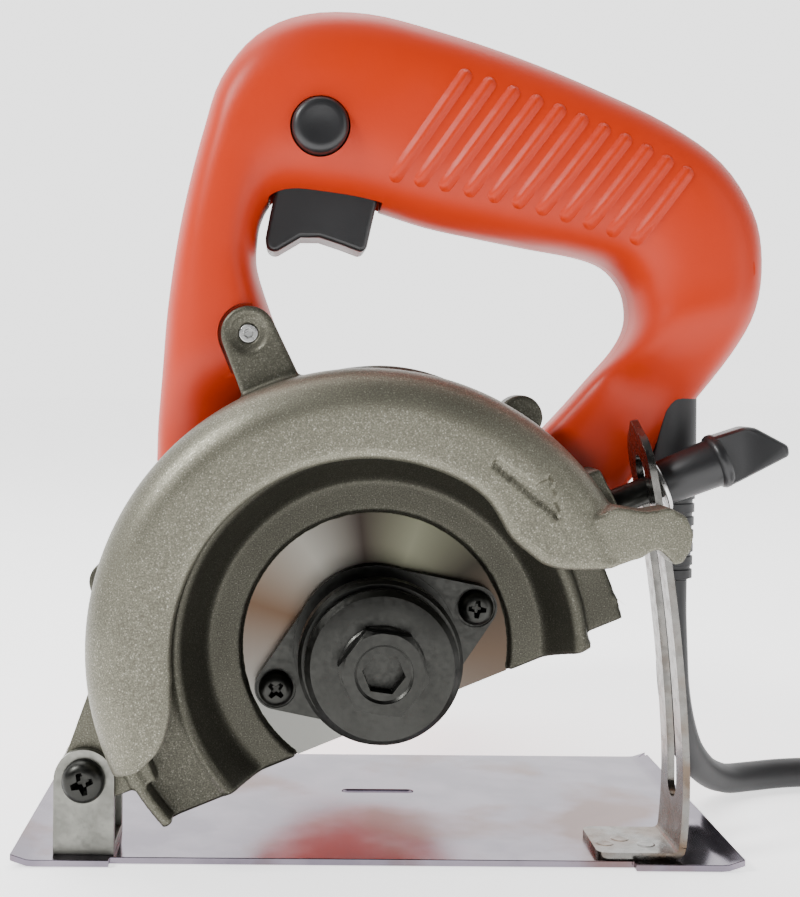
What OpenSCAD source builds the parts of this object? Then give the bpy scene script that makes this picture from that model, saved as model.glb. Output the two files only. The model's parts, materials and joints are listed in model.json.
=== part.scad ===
// Hand-held 110 mm marble cutter (a small trim saw for stone): a D-handled saw head that
// tilts on a folded sheet base plate. Millimetres, +Z up, X to the right, Y to the back.
// The origin is the middle of the base plate's underside.

/* [Base plate] */
// Length of the base plate, left to right
plate_len = 160; // [150:1:175]
// Depth of the base plate, front to back
plate_depth = 86; // [80:1:100]
// Thickness of the plate's sheet
plate_t = 1.5; // [1:0.1:2]
// Height of the turned-up ends above the underside
plate_rise = 2.8; // [2:0.1:4]
// Thickness of the pivot bracket's sheet
ear_t = 2; // [1.5:0.1:2.2]
// Width of an ear of the pivot bracket
ear_w = 13.4; // [12:0.1:15]

/* [Depth guide] */
// Inner radius of the guide's lower arc, about the pivot
guide_r = 131.6; // [131.5:0.1:132.5]
// Thickness of the guide's strip
guide_t = 1.6; // [1.2:0.1:1.8]
// Width of the guide's strip
guide_w = 18; // [16:0.5:20]
// Width of the guide's slot
slot_w = 7; // [6.6:0.1:8]

/* [Saw head] */
// How far the spindle is from the pivot
pivot_reach = 70.2; // [70:0.1:71]
// Height of the pivot above the underside
pivot_z = 17.9; // [17.5:0.1:19]
// Tilt of the saw head at rest
rest_tilt = 22.4; // [20:0.1:24]
// Outer radius of the blade guard
guard_r = 60.8; // [60.5:0.1:61]
// Inner radius of the guard's front lip
lip_r = 42; // [40:0.5:44]
// Wall of the guard
guard_t = 2.5; // [2:0.1:3]
// Outer radius of the motor housing
motor_r = 38; // [37.5:0.1:38.4]

/* [Drive] */
// Teeth of the spindle gear
gear_teeth = 36; // [36:1:36]
// Teeth of the armature's pinion
pinion_teeth = 16; // [16:1:16]
// Radius of the blade's seat, for a 20 mm bore
seat_r = 10; // [9.9:0.1:10]
// Radius of the outer clamping flange
outer_flange_r = 16.7; // [15:0.1:18]
// Radius of the inner clamping flange
inner_flange_r = 18.1; // [16:0.1:19]
// Distance across the flats of the clamp bolt
bolt_flats = 17; // [16:1:19]

/* [Handle] */
// Front face of the handle, from the blade's plane
handle_front = 10; // [9.5:0.5:11]
// Thickness of the handle, front to back
handle_thick = 34; // [32:1:36]
// Wall of the handle's shells
shell_t = 2.6; // [2.2:0.1:3]

/* [Cord] */
// Diameter of the cord
cord_d = 7.4; // [7.2:0.1:7.5]
// Turns in the stored coil
coil_turns = 6; // [6:1:6]
// Diameter at the middle of the coil's turns
coil_d = 88; // [86:1:88]

/* [Hidden] */
$fn = 64;
blade_y = -plate_depth / 2;
pivot_x = -64.5;
centre_distance = (gear_teeth + pinion_teeth) / 2;
motor_axis = [10, sqrt(centre_distance ^ 2 - 100)];
guard_c = [-1.5, 4.5];
cut_z = -17;
shell_mid = handle_front + handle_thick / 2;
fine = 0.05;

// ---- frames and helpers -------------------------------------------------------------
module at_blade() { translate([0, blade_y, 0]) children(); }
module at_pivot() { translate([pivot_x, blade_y, pivot_z]) children(); }
module at_saw() { at_pivot() rotate([0, -rest_tilt, 0]) translate([pivot_reach, 0, 0]) children(); }
module at_motor() { translate([motor_axis[0], 0, motor_axis[1]]) children(); }
module at_guard() { translate([guard_c[0], 0, guard_c[1]]) children(); }
// A round bar along Y between two places
module rod(r, y0, y1) { translate([0, y0, 0]) rotate([-90, 0, 0]) cylinder(r = r, h = y1 - y0); }
// A ring along Y
module ring(r_out, r_in, y0, y1) {
    difference() {
        rod(r_out, y0, y1);
        rod(r_in, y0 - 1, y1 + 1);
    }
}
// An outline drawn in X and Z, with depth along Y
module slab(y0, y1) { translate([0, y1, 0]) rotate([90, 0, 0]) linear_extrude(y1 - y0) children(); }
// A profile drawn as radius and Y, turned about Y from one angle to another
module turned(a0 = 0, a1 = 360) {
    rotate([90, 0, 0]) rotate([0, 0, a0]) rotate_extrude(angle = a1 - a0) mirror([0, 1]) children();
}
function arc(c, rx, ry, a0, a1, n = 8) =
    [for (i = [0:n]) let (a = a0 + (a1 - a0) * i / n) c + [rx * cos(a), ry * sin(a)]];
function polar(r, a) = [r * cos(a), r * sin(a)];
// A pan-head screw along Y: its head at y0 and its shank going to y1
module pan_screw(head_r, head_h, shank_r, y0, y1) {
    difference() {
        union() {
            turned() polygon(concat([[0, y0], [0, y0 + head_h]], [[head_r, y0 + head_h]],
                arc([head_r - head_h * 0.8, y0 + head_h * 0.8], head_h * 0.8, head_h * 0.8, 0, -90, 6)));
            rod(shank_r, y0 + head_h - fine, y1);
        }
        for (a = [0, 90]) rotate([0, a, 0])
            translate([-head_r * 0.55, y0 - 1, -head_r * 0.1])
            cube([head_r * 1.1, 1 + head_h * 0.7, head_r * 0.2]);
    }
}

// ---- base ---------------------------------------------------------------------------
notch_x0 = -58.5;
notch_x1 = 56.3;
notch_d = 2.2;
flange_w = 4;

slot_ends = [-4.4, 10.8];
slot_y = 9;
slot_r = 1.5;
module base_plate() {
    color("silver") difference() {
        slab(-plate_depth / 2, plate_depth / 2) plate_profile();
        translate([notch_x0, -plate_depth / 2 - 1, -1])
            cube([notch_x1 - notch_x0, notch_d + 1, plate_t + 2]);
        for (x = slot_ends) translate([x, slot_y, -1]) cylinder(r = slot_r, h = plate_t + 2);
        translate([slot_ends[0], slot_y - slot_r, -1])
            cube([slot_ends[1] - slot_ends[0], 2 * slot_r, plate_t + 2]);
    }
}
module plate_profile() {
    half = plate_len / 2;
    lift = plate_rise - plate_t;
    polygon([[-half, lift], [-half + flange_w, 0], [half - flange_w, 0], [half, lift],
        [half, plate_rise], [half - flange_w, plate_t], [-half + flange_w, plate_t], [-half, plate_rise]]);
}

ear_gap = 12.2;
ear_y0 = 3.4;
ear_y1 = ear_y0 + 2 * ear_t + ear_gap;
web_z = plate_t;

module pivot_bracket() {
    color("gray") at_blade() difference() {
        union() {
            for (y = [ear_y0, ear_y1 - ear_t]) {
                translate([pivot_x - ear_w / 2, y, web_z]) cube([ear_w, ear_t, pivot_z - web_z]);
                translate([pivot_x, 0, pivot_z]) rod(ear_w / 2, y, y + ear_t);
            }
            translate([pivot_x - ear_w / 2, ear_y0, web_z]) cube([ear_w, ear_y1 - ear_y0, ear_t]);
        }
        translate([pivot_x, 0, pivot_z]) rod(3.2, 0, ear_y1 + 1);
    }
}
module pivot_screw() {
    color("black") at_pivot() pan_screw(4.8, 3.2, 3, ear_y0 - 3.3, ear_y1 + 6.5);
}
module pivot_nut() {
    color("black") at_pivot() difference() {
        translate([0, ear_y1 + 0.1, 0]) rotate([-90, 0, 0]) cylinder(r = 5.77, h = 5, $fn = 6);
        rod(3.02, ear_y1 - 1, ear_y1 + 8);
    }
}

// The guide: an arc about the pivot, then a flatter arc that leans back from it
guide_bend = 3;
guide_top_r = 450;
guide_top = 12.6;
guide_round = 85.7;
guide_low = -6;
guide_y = 12;
function guide_line(offset) = concat(
    [for (a = [guide_low:1.5:guide_bend - 0.1]) polar(guide_r + offset, a)],
    [for (i = [0:8]) polar(guide_r - guide_top_r, guide_bend)
        + polar(guide_top_r + offset, guide_bend + (guide_top - guide_bend) * i / 8)]);
function reversed(list) = [for (i = [len(list) - 1:-1:0]) list[i]];

module depth_guide() {
    foot_z = plate_t - pivot_z;
    low = polar(guide_r, guide_low);
    color("lightgray") at_pivot() intersection() {
        difference() {
            slab(guide_y - guide_w / 2, guide_y + guide_w / 2) polygon(concat(
                [[low[0] - 19, foot_z], [low[0] + guide_t - 0.4, foot_z]], guide_line(guide_t),
                reversed(guide_line(0)), [[low[0] - 0.2, foot_z + guide_t], [low[0] - 19, foot_z + guide_t]]));
            translate([guide_r - 30, guide_y - slot_w / 2, -5]) cube([40, slot_w, 77]);
        }
        union() {
            translate([guide_r - 40, 0, foot_z - 1]) cube([50, 30, guide_round + 1]);
            translate([guide_r - 40, guide_y, foot_z + guide_round]) rotate([0, 90, 0]) cylinder(r = 9, h = 50);
        }
    }
}

// ---- cord on the base side ------------------------------------------------------------
// The cord's route from the strain relief to the coil, in the object's frame
relief_end = [70.6, -16, 59.8];
cord_route = [
    relief_end, [70.6, -16, 52], [71.2, -15.1, 43], [72.4, -12.6, 33.5], [75.1, -8, 24],
    [79.2, -2, 15.5], [85, 5, 8.8], [92, 11.5, 4.8], [100, 16.5, 3.8], [109, 19.5, 3.8], [119, 21, 3.8],
    [131, 20.5, 3.8], [144, 18, 3.8], [157, 13.5, 3.8], [170, 9.5, 3.8], [183, 8, 3.8]];
cord_steps = 4;
cord_sides = 10;
function curve(p, i, t) =
    let (a = p[max(i - 1, 0)], b = p[i], c = p[i + 1], d = p[min(i + 2, len(p) - 1)])
    0.5 * (2 * b + (c - a) * t + (2 * a - 5 * b + 4 * c - d) * t ^ 2 + (3 * b - a - 3 * c + d) * t ^ 3);
function smooth(p, steps) = concat(
    [for (i = [0:len(p) - 2]) for (k = [0:steps - 1]) curve(p, i, k / steps)], [p[len(p) - 1]]);
function unit(v) = v / norm(v);
// A closed tube through a list of points
module tube(path, r, sides) {
    n = len(path);
    function heading(i) = unit(path[min(i + 1, n - 1)] - path[max(i - 1, 0)]);
    function across(i) = unit(cross(heading(i), [0.3, 1, 0.2]));
    points = [for (i = [0:n - 1]) for (k = [0:sides - 1])
        let (a = across(i), b = cross(heading(i), a), t = 360 * k / sides)
        path[i] + r * (a * cos(t) + b * sin(t))];
    walls = [for (i = [0:n - 2]) for (k = [0:sides - 1])
        let (k2 = (k + 1) % sides)
        [i * sides + k, i * sides + k2, (i + 1) * sides + k2, (i + 1) * sides + k]];
    ends = [[for (k = [sides - 1:-1:0]) k], [for (k = [0:sides - 1]) (n - 1) * sides + k]];
    polyhedron(points, [for (f = concat(walls, ends)) reversed(f)], convexity = 6);
}
module cord_run() {
    color("black") tube(smooth(cord_route, cord_steps), cord_d / 2, cord_sides);
}

coil_c = [186, -43.4];
coil_layers = 2;
module cord_coil() {
    half = cord_d * coil_turns / coil_layers / 2;
    color("black") translate([coil_c[0], coil_c[1], 0]) rotate_extrude()
        translate([coil_d / 2 - half, 0.1]) square([2 * half, cord_d * coil_layers]);
}
plug_angle = -110;
plug_r = 30;
plug_along = 27;
plug_size = [24, 32, 13];
pin_gap = 19;
module power_plug() {
    color("black") translate([coil_c[0], coil_c[1], coil_layers * cord_d + 0.1])
        rotate(plug_angle) translate([plug_r, -plug_along, 0]) rotate(180) {
            translate([-plug_size[0] / 2, -plug_size[1] / 2, 0]) cube(plug_size);
            translate([0, fine - plug_size[1] / 2, plug_size[2] / 2]) rotate([90, 0, 0])
                cylinder(r1 = 5.5, r2 = 4.2, h = 9);
            for (x = [-pin_gap / 2, pin_gap / 2]) translate([x, plug_size[1] / 2 - fine, plug_size[2] / 2])
                rotate([-90, 0, 0]) cylinder(r = 2, h = 19);
        }
}

// ---- guard casting ----------------------------------------------------------------------
lip_front = -12;
floor_y = 11;
floor_t = 3;
bowl_y = 20;
rear_y = 25;
face_r = 31.3;
retainer_x = 24.8;
boss_r = 16.8;
bearing_r = 14;
lug_z = 77.8;
stud_z = 11.5;
block_r = 131.2;
function head_x(r, z) = sqrt(r ^ 2 - z ^ 2) - pivot_reach;

module lip_profile() {
    polygon(concat(
        [[guard_r, floor_y + floor_t - 0.4], [guard_r, lip_front + 9]],
        arc([guard_r - 8.8, lip_front + 9], 8.8, 9, 0, -90),
        arc([lip_r + 2, lip_front + 2], 2, 2, -90, -270, 6),
        arc([guard_r - guard_t - 6, lip_front + 8], 6, 4, -90, 0, 5),
        [[guard_r - guard_t, floor_y + floor_t - 0.4]]));
}
module below_cut() { translate([-90, -30, -90]) cube([180, 90, 90 + cut_z]); }
module spur() {
    slab(-11.2, -3.3) polygon([[52, 14], [58.5, 14.5], [63.8, 11.3], [68.4, 10.4], [71, 7.4], [71.2, 3.4],
        [69.4, 0.4], [66.6, -1.6], [65, -1.4], [64.2, 1], [63, 3.2], [59.3, 2.7], [52, 3]]);
}
module arm() {
    slab(ear_y0 + ear_t + 0.3, ear_y0 + ear_t + ear_gap - 0.3) polygon(concat(
        arc([-pivot_reach, 0], 6.6, 6.6, 110, 270, 10), [[-56, -6.6], [-56, 22], [-61, 19]]));
}
module blade_guard() {
    color("darkgray") at_saw() difference() {
        union() {
            at_guard() turned(-3, 181) lip_profile();
            at_guard() turned(-17, 201) translate([guard_r - guard_t - 0.15, 5])
                square([guard_t, floor_y + floor_t - 5.2]);
            at_guard() rod(guard_r - 1, floor_y, floor_y + floor_t);
            rod(47.5, floor_y, rear_y);
            at_motor() rod(39, floor_y, rear_y);
            rod(boss_r, rear_y - fine, 33.5);
            slab(8, 12) union() {
                translate([-6.2, 60]) square([12.4, lug_z - 60]);
                translate([0, lug_z]) circle(r = 6.2);
            }
            spur();
            arm();
            for (x = [-50, 50]) translate([x, 0, 37.3]) rod(5, floor_y, 19);
            for (p = flange_screws) translate([p[0], 0, p[1]]) rod(5, floor_y, rear_y);
            intersection() {
                translate([50, 6.4, 1.5]) cube([20, 11.2, 19.3]);
                translate([-pivot_reach, 0, 0]) rod(block_r, 0, 30);
            }
        }
        below_cut();
        difference() {
            at_motor() rod(35.5, floor_y + floor_t, rear_y + 1);
            rod(47.5, 0, rear_y + 2);
            for (p = flange_screws) translate([p[0], 0, p[1]]) rod(5, 0, rear_y + 2);
        }
        turned() polygon([[0, floor_y - 1], [44.5, floor_y - 1], [38.8, bowl_y], [face_r, bowl_y],
            [face_r, bowl_y + 2], [0, bowl_y + 2]]);
        rod(bearing_r, 0, 31.5);
        rod(11, 0, 40);
        for (x = [-retainer_x, retainer_x]) translate([x, 0, 0]) rod(2.05, 0, rear_y + 1);
        for (p = flange_screws) translate([p[0], 0, p[1]]) rod(2.05, 17, rear_y + 1);
        translate([0, 0, lug_z]) rod(2.2, 0, 20);
        translate([-pivot_reach, 0, 0]) rod(3.05, 0, 30);
        translate([head_x(block_r, stud_z) - 14, guide_y, stud_z]) rotate([0, 90, 0])
            cylinder(r = 3, h = 20);
    }
}
flange_screws = [[-33, 24], [43, -4.6], [28, 50]];

module bearing_retainer() {
    color("dimgray") at_saw() difference() {
        union() {
            rod(19, 17.8, bowl_y + 2);
            for (s = [-1, 1]) {
                translate([s * retainer_x, 0, 0]) rod(5, 17.8, bowl_y + 2);
                slab(17.8, bowl_y + 2)
                    polygon([[s * 27.4, 4.3], [s * 27.4, -4.3], [s * 6.5, -17.8], [s * 6.5, 17.8]]);
            }
        }
        rod(13.2, 0, 30);
        for (x = [-retainer_x, retainer_x]) translate([x, 0, 0]) rod(2.1, 0, 30);
    }
}
module retainer_screws() {
    color("black") at_saw() for (x = [-retainer_x, retainer_x]) translate([x, 0, 0])
        pan_screw(4, 2.6, 2, 15.2, 24);
}
// A ball bearing along Y: two rings with a ring of balls between them
module bearing(r_out, r_in, y0, y1) {
    wall = (r_out - r_in) * 0.28;
    ball_r = (r_out - r_in) * 0.19;
    mid = (r_out + r_in) / 2;
    balls = floor(PI * mid / ball_r / 1.25);
    ring(r_out, r_out - wall, y0, y1);
    ring(r_in + wall, r_in, y0, y1);
    for (i = [0:balls - 1]) rotate([0, i * 360 / balls, 0])
        translate([mid, (y0 + y1) / 2, 0]) sphere(r = ball_r);
    for (y = [y0 + 0.3, y1 - 0.7]) ring(r_out - wall - 0.05, r_in + wall + 0.05, y, y + 0.4);
}
module spindle_bearing() { color("silver") at_saw() bearing(bearing_r - 0.05, 6.05, 23, 31); }
module spindle_bush() { color("peru") at_saw() ring(7.95, 5.05, 45.3, 51.3); }
module armature_front_bearing() {
    color("silver") at_saw() at_motor() bearing(12.95, 5.05, 51, 58.5);
}
module armature_rear_bearing() {
    color("silver") at_saw() at_motor() bearing(10.95, 4.05, 126.5, 133);
}

// ---- gear housing and motor -----------------------------------------------------------
chamber_r = 19.8;
module tongues() {
    translate([-13.5, 29, 58]) rotate([0, 31, 0]) translate([-5, 0, -5]) cube([9, 8, 14]);
    translate([50, 29, 15.5]) rotate([0, -27, 0]) translate([-6, 0, -4]) cube([22, 8, 8]);
}
module gear_housing() {
    color("gray") at_saw() difference() {
        union() {
            at_motor() rod(39, rear_y + 0.02, 50);
            rod(chamber_r, rear_y + 0.02, 34.5);
            rod(chamber_r + 2, 34.5 - fine, 47);
            at_motor() rod(motor_r, 50 - fine, 52);
            at_motor() rod(15.5, 52 - fine, 59);
            rod(10.5, 47 - fine, 52);
            for (p = flange_screws) translate([p[0], 0, p[1]]) rod(5, rear_y + 0.02, 34);
            tongues();
        }
        translate([-90, 20, -90]) cube([180, 14, 90 + cut_z - 0.1]);
        difference() {
            at_motor() rod(35.5, rear_y - 1, 47);
            for (p = flange_screws) translate([p[0], 0, p[1]]) rod(5, rear_y - 2, 34);
        }
        rod(chamber_r - 2, rear_y - 1, 36);
        rod(chamber_r, 35.5, 45);
        at_motor() rod(13, 51, 60);
        at_motor() rod(9.6, 40, 60);
        rod(8, 44, 51.5);
        for (p = flange_screws) translate([p[0], 0, p[1]]) rod(2.1, 20, 35);
        for (a = motor_screw_angles) at_motor() translate([motor_screw_r * cos(a), 0, motor_screw_r * sin(a)])
            rod(1.75, 46, 60);
    }
}
motor_screw_angles = [90, 170, 330];
motor_screw_r = 31.4;
module gear_housing_screws() {
    color("silver") at_saw() for (p = flange_screws) translate([p[0], 0, p[1]]) rotate([0, 0, 180])
        translate([0, -36.7, 0]) pan_screw(3.6, 2.6, 1.95, 0, 16);
}
brush_y = 116;
module motor_housing() {
    color("orangered") at_saw() at_motor() difference() {
        union() {
            difference() {
                rod(motor_r, 52.1, 134);
                rod(motor_r - 2.6, 51, 131.4);
            }
            for (s = [-1, 1]) translate([s * (motor_r - 3), brush_y, 0]) rotate([0, 90 * s, 0])
                cylinder(r = 7, h = 5.5);
            rod(13.2, 124, 131.5);
            for (a = motor_screw_angles) intersection() {
                translate([motor_screw_r * cos(a), 0, motor_screw_r * sin(a)]) rod(4.6, 52.1, 57);
                rod(motor_r - 1, 50, 58);
            }
        }
        rod(8.6, 120, 140);
        rod(11, 120, 133.02);
        for (a = motor_screw_angles) translate([motor_screw_r * cos(a), 0, motor_screw_r * sin(a)])
            rod(1.8, 50, 60);
        for (a = [20:40:340]) rotate([0, a, 0]) translate([-1.6, 60, 20]) cube([3.2, 9, 30]);
        for (s = [-1, 1]) translate([s * 20, brush_y, 0]) rotate([0, 90 * s, 0])
            cylinder(r = 4.8, h = 40);
        for (a = [45, 225]) translate([28 * cos(a), 0, 28 * sin(a)]) rod(1.6, 120, 140);
    }
}
module motor_housing_screws() {
    color("silver") at_saw() at_motor() for (a = motor_screw_angles)
        translate([motor_screw_r * cos(a), 0, motor_screw_r * sin(a)]) rotate([0, 0, 180])
        translate([0, -59.6, 0]) pan_screw(3.2, 2.5, 1.65, 0, 13);
}
module rear_cover() {
    color("dimgray") at_saw() at_motor() difference() {
        union() {
            turned() polygon(concat([[0, 134.1], [motor_r, 134.1]],
                arc([motor_r - 5, 136.5], 5, 5, 0, 90, 6), [[0, 141.5]]));
        }
        turned() polygon([[0, 134], [motor_r - 3, 134], [motor_r - 4, 138.6], [0, 138.6]]);
        for (i = [-3:3]) translate([-22, 137, i * 6 - 1.2]) cube([44, 10, 2.4]);
        for (a = [45, 225]) translate([28 * cos(a), 0, 28 * sin(a)]) rod(1.7, 130, 150);
    }
}
module rear_cover_screws() {
    color("silver") at_saw() at_motor() for (a = [45, 225])
        translate([28 * cos(a), 0, 28 * sin(a)]) rotate([0, 0, 180])
        translate([0, -144.1, 0]) pan_screw(3.2, 2.5, 1.5, 0, 18);
}
module fan_baffle() {
    color("black") at_saw() at_motor() ring(motor_r - 2.7, 16, 70.5, 72);
}
core_y0 = 77;
core_y1 = 107;
module field_core() {
    color("gray") at_saw() at_motor() difference() {
        rod(motor_r - 2.75, core_y0, core_y1);
        rod(19.9, core_y0 - 1, core_y1 + 1);
        for (s = [-1, 1]) translate([s * 24, 0, 0]) intersection() {
            translate([-8.5, core_y0 - 1, -15]) cube([17, core_y1 - core_y0 + 2, 30]);
            translate([-s * 24, 0, 0]) rod(30, core_y0 - 1, core_y1 + 1);
        }
    }
}
module field_coils() {
    color("peru") at_saw() at_motor() for (s = [-1, 1]) for (z = [-1, 1])
        translate([s > 0 ? 20.5 : -26.5, core_y0 - 4, z > 0 ? 3 : -12])
        cube([6, core_y1 - core_y0 + 8, 9]);
}
module brush_holders() {
    color("goldenrod") at_saw() at_motor() for (s = [-1, 1])
        translate([s * 11.6, brush_y, 0]) rotate([0, 90 * s, 0]) difference() {
            cylinder(r = 4.7, h = 20);
            translate([-2.6, -3.1, -1]) cube([5.2, 6.2, 30]);
        }
}
module carbon_brushes() {
    color("black") at_saw() at_motor() for (s = [-1, 1])
        translate([s * 10.7, brush_y, 0]) rotate([0, 90 * s, 0])
        translate([-2.5, -3, 0]) cube([5, 6, 13]);
}
module brush_caps() {
    color("black") at_saw() at_motor() for (s = [-1, 1])
        translate([s * 32, brush_y, 0]) rotate([0, 90 * s, 0]) difference() {
            cylinder(r = 4.7, h = 8.2);
            translate([-4, -0.6, 7.2]) cube([8, 1.2, 2]);
        }
}
module armature_shaft() {
    color("silver") at_saw() at_motor() {
        rod(5, 44.5 - fine, 126);
        rod(4, 126 - fine, 133.5);
        gear(pinion_teeth, 36, 44.5);
    }
}
// A spur gear of module 1 along Y
module gear(teeth, y0, y1, phase = 0) {
    r = teeth / 2;
    slab(y0, y1) union() {
        circle(r = r - 1.2);
        for (i = [0:teeth - 1]) rotate(phase + i * 360 / teeth)
            polygon([[r - 1.6, -1.15], [r - 1.2, -1.08], [r, -0.72], [r + 0.85, -0.34],
                [r + 0.85, 0.34], [r, 0.72], [r - 1.2, 1.08], [r - 1.6, 1.15]]);
    }
}
module armature_core() {
    color("gray") at_saw() at_motor() difference() {
        union() {
            rod(19.3, core_y0, core_y1);
            rod(15.5, core_y0 - 3, core_y1 + 3);
        }
        rod(5.02, core_y0 - 5, core_y1 + 5);
        for (a = [0:30:330]) rotate([0, a, 0]) translate([16.2, core_y0 - 1, -1])
            cube([5, core_y1 - core_y0 + 2, 2]);
    }
}
module commutator() { color("peru") at_saw() at_motor() ring(10.4, 5.02, 111.5, 122); }
module cooling_fan() {
    color("black") at_saw() at_motor() {
        ring(12, 5.02, 61.5, 69.5);
        ring(31.5, 11.9, 68, 69.5);
        for (a = [0:24:336]) rotate([0, a, 0]) translate([11.8, 62, -0.6]) cube([19, 6.2, 1.2]);
    }
}

// ---- spindle --------------------------------------------------------------------------
module spindle_shaft() {
    color("silver") at_saw() difference() {
        union() {
            rod(6, -1.15, 45);
            rod(5, 45 - fine, 51.2);
        }
        rod(4.02, -2, 16);
    }
}
module driven_gear() {
    color("silver") at_saw() difference() {
        gear(gear_teeth, 36.7, 43.7, gear_phase);
        rod(6.02, 30, 50);
    }
}
motor_angle = atan2(motor_axis[1], motor_axis[0]);
gear_phase = motor_angle + (motor_angle + 180) * pinion_teeth / gear_teeth + 180 / gear_teeth;
module spindle_clip() { color("black") at_saw() ring(8.5, 6.02, 34.8, 36); }
module inner_flange() {
    color("dimgray") at_saw() difference() {
        union() {
            turned() polygon([[0, 1], [inner_flange_r - 0.8, 1], [inner_flange_r, 1.8],
                [inner_flange_r, 6.4], [inner_flange_r - 1, 7.2], [12.4, 7.2], [12.4, 19.5], [0, 19.5]]);
            rod(seat_r, -1.2, 1 + fine);
        }
        rod(6.02, -2, 30);
    }
}
module outer_flange() {
    color("dimgray") at_saw() difference() {
        turned() polygon([[0, -1.25], [outer_flange_r, -1.25], [outer_flange_r, -3.6],
            [outer_flange_r - 1.4, -5], [13.6, -5.3], [0, -5.3]]);
        rod(4.1, -10, 1);
    }
}
module clamp_bolt() {
    color("black") at_saw() difference() {
        union() {
            rod(9.4, -6.1, -5.32);
            intersection() {
                translate([0, -6, 0]) rotate([90, 30, 0])
                    cylinder(r = bolt_flats / 2 / cos(30), h = 4.6, $fn = 6);
                turned() polygon([[0, -6], [10, -6], [10, -9.8], [8.7, -10.6], [0, -10.6]]);
            }
            rod(4, -6, 14);
        }
        turned() polygon([[0, -12], [6.2, -12], [5.8, -9.9], [0, -9.9]]);
        translate([0, -6.2, 0]) rotate([90, 0, 0]) cylinder(r = 4 / cos(30), h = 6, $fn = 6);
    }
}

// ---- handle ---------------------------------------------------------------------------
// Stations along the handle: the outer edge, the inner edge, the front face and the rear face
handle_stations = [
    [-31.5, 58.5, -1, 64.5, 16, 42], [-27.8, 66.8, 4.5, 66.4, 14.6, 42.6],
    [-22.1, 77.9, 6.2, 71.5, 10.6, 43.4], [-15.8, 90.4, 6.3, 80, 10, 44], [-7.8, 104.1, 7.2, 91.5, 10, 44],
    [-0.2, 115.5, 9.8, 98, 10, 44], [7.8, 126.2, 12.6, 102.2, 10, 44], [16, 135.8, 16.5, 105, 10, 44],
    [27.4, 142.1, 21.5, 104.4, 10, 44], [39.7, 142.4, 28, 100.9, 10, 44], [53.5, 137, 37, 95.2, 10, 44],
    [67.4, 126.9, 48, 86.2, 10, 44], [82.1, 114.4, 58.7, 78.9, 10, 44], [95.8, 101, 68.9, 72.2, 10, 44],
    [108.4, 87.1, 78.2, 66.3, 10, 44], [116.5, 74.1, 83.8, 61.3, 10, 44], [119, 60.7, 85.9, 55.5, 10, 44],
    [116.7, 49.6, 85.3, 50.2, 10, 44], [110.9, 39.3, 83.1, 45.8, 10, 44],
    [102.2, 31.5, 78.6, 42.1, 13.5, 44], [90.1, 23.7, 71.3, 38.4, 20.8, 44],
    [75.9, 15.6, 61.5, 33.6, 22, 43], [64, 9.2, 52.4, 29.6, 22, 42]];
handle_steps = 2;
half_ring = 12;
section_power = 2.9;
function signed_power(v, p) = sign(v) * abs(v) ^ p;
// Points of one half of the handle's section, from the outer edge round to the inner edge
function half_section(s, inset, side) =
    let (o = [s[0], s[1]], i = [s[2], s[3]], mid = (o + i) / 2, dir = unit(o - i),
        half = norm(o - i) / 2 - inset,
        depth = (side < 0 ? shell_mid - s[4] : s[5] - shell_mid) - inset - 0.05)
    [for (k = [0:half_ring]) let (a = 180 * k / half_ring,
        w = half * signed_power(cos(a), 2 / section_power),
        d = 0.05 + depth * signed_power(sin(a), 2 / section_power))
        [mid[0] + dir[0] * w, shell_mid + side * d, mid[1] + dir[1] * w]];
module shell(side) {
    stations = smooth(handle_stations, handle_steps);
    n = len(stations);
    m = 2 * (half_ring + 1);
    points = [for (s = stations) each concat(half_section(s, 0, side),
        reversed(half_section(s, shell_t, side)))];
    walls = [for (i = [0:n - 2]) for (k = [0:m - 1]) let (k2 = (k + 1) % m)
        each [[i * m + k, i * m + k2, (i + 1) * m + k2], [i * m + k, (i + 1) * m + k2, (i + 1) * m + k]]];
    caps = [for (k = [0:half_ring - 1]) for (e = [0, n - 1])
        let (q = e * m, f = [q + k, q + k + 1, q + m - 2 - k, q + m - 1 - k])
        e == 0 ? reversed(f) : f];
    faces = concat(walls, caps);
    polyhedron(points, side < 0 ? [for (f = faces) reversed(f)] : faces, convexity = 8);
}
trigger_o = [28.2, 100.6];
trigger_tilt = -28.9;
button_c = [32.4, 115.1];
module at_trigger() { translate([trigger_o[0], 0, trigger_o[1]]) rotate([0, -trigger_tilt, 0]) children(); }
module trigger_slot() {
    at_trigger() translate([-13.2, shell_mid - 8.6, -9]) cube([26.2, 17.2, 18]);
}
handle_posts = [[-5.5, 90], [8, 113], [62, 112], [98, 84], [108, 50]];
module post(p, r, y0, y1) { translate([p[0], 0, p[1]]) rod(r, y0, y1); }
relief_r = 5.6;
module relief_hole() {
    translate([relief_end[0], relief_end[1], relief_end[2] - 10]) cylinder(r = relief_r + 0.15, h = 80);
}
module handle_left() {
    color("orangered") difference() {
        at_saw() difference() {
            union() {
                shell(-1);
                for (p = handle_posts) post(p, 4, handle_front + shell_t - 0.6, shell_mid - 0.1);
            }
            trigger_slot();
            translate([button_c[0], 0, button_c[1]]) rod(6.8, 0, shell_mid);
            for (p = handle_posts) post(p, 1.75, shell_mid - 10, shell_mid);
            slab(0, 12.3) translate([-7, 55]) square([14, lug_z - 55]);
            translate([0, 0, lug_z]) rod(7, 0, 12.3);
            translate([0, 0, lug_z]) rod(2.15, 10, 20);
        }
        relief_hole();
    }
}
module handle_right() {
    color("orangered") difference() {
        at_saw() difference() {
            union() {
                shell(1);
                for (p = handle_posts) post(p, 4, shell_mid + 0.1, handle_front + handle_thick - 2);
            }
            trigger_slot();
            for (p = handle_posts) {
                post(p, 1.9, shell_mid, 50);
                post(p, 3.8, handle_front + handle_thick - 2.3, 50);
            }
        }
        relief_hole();
    }
}
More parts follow.
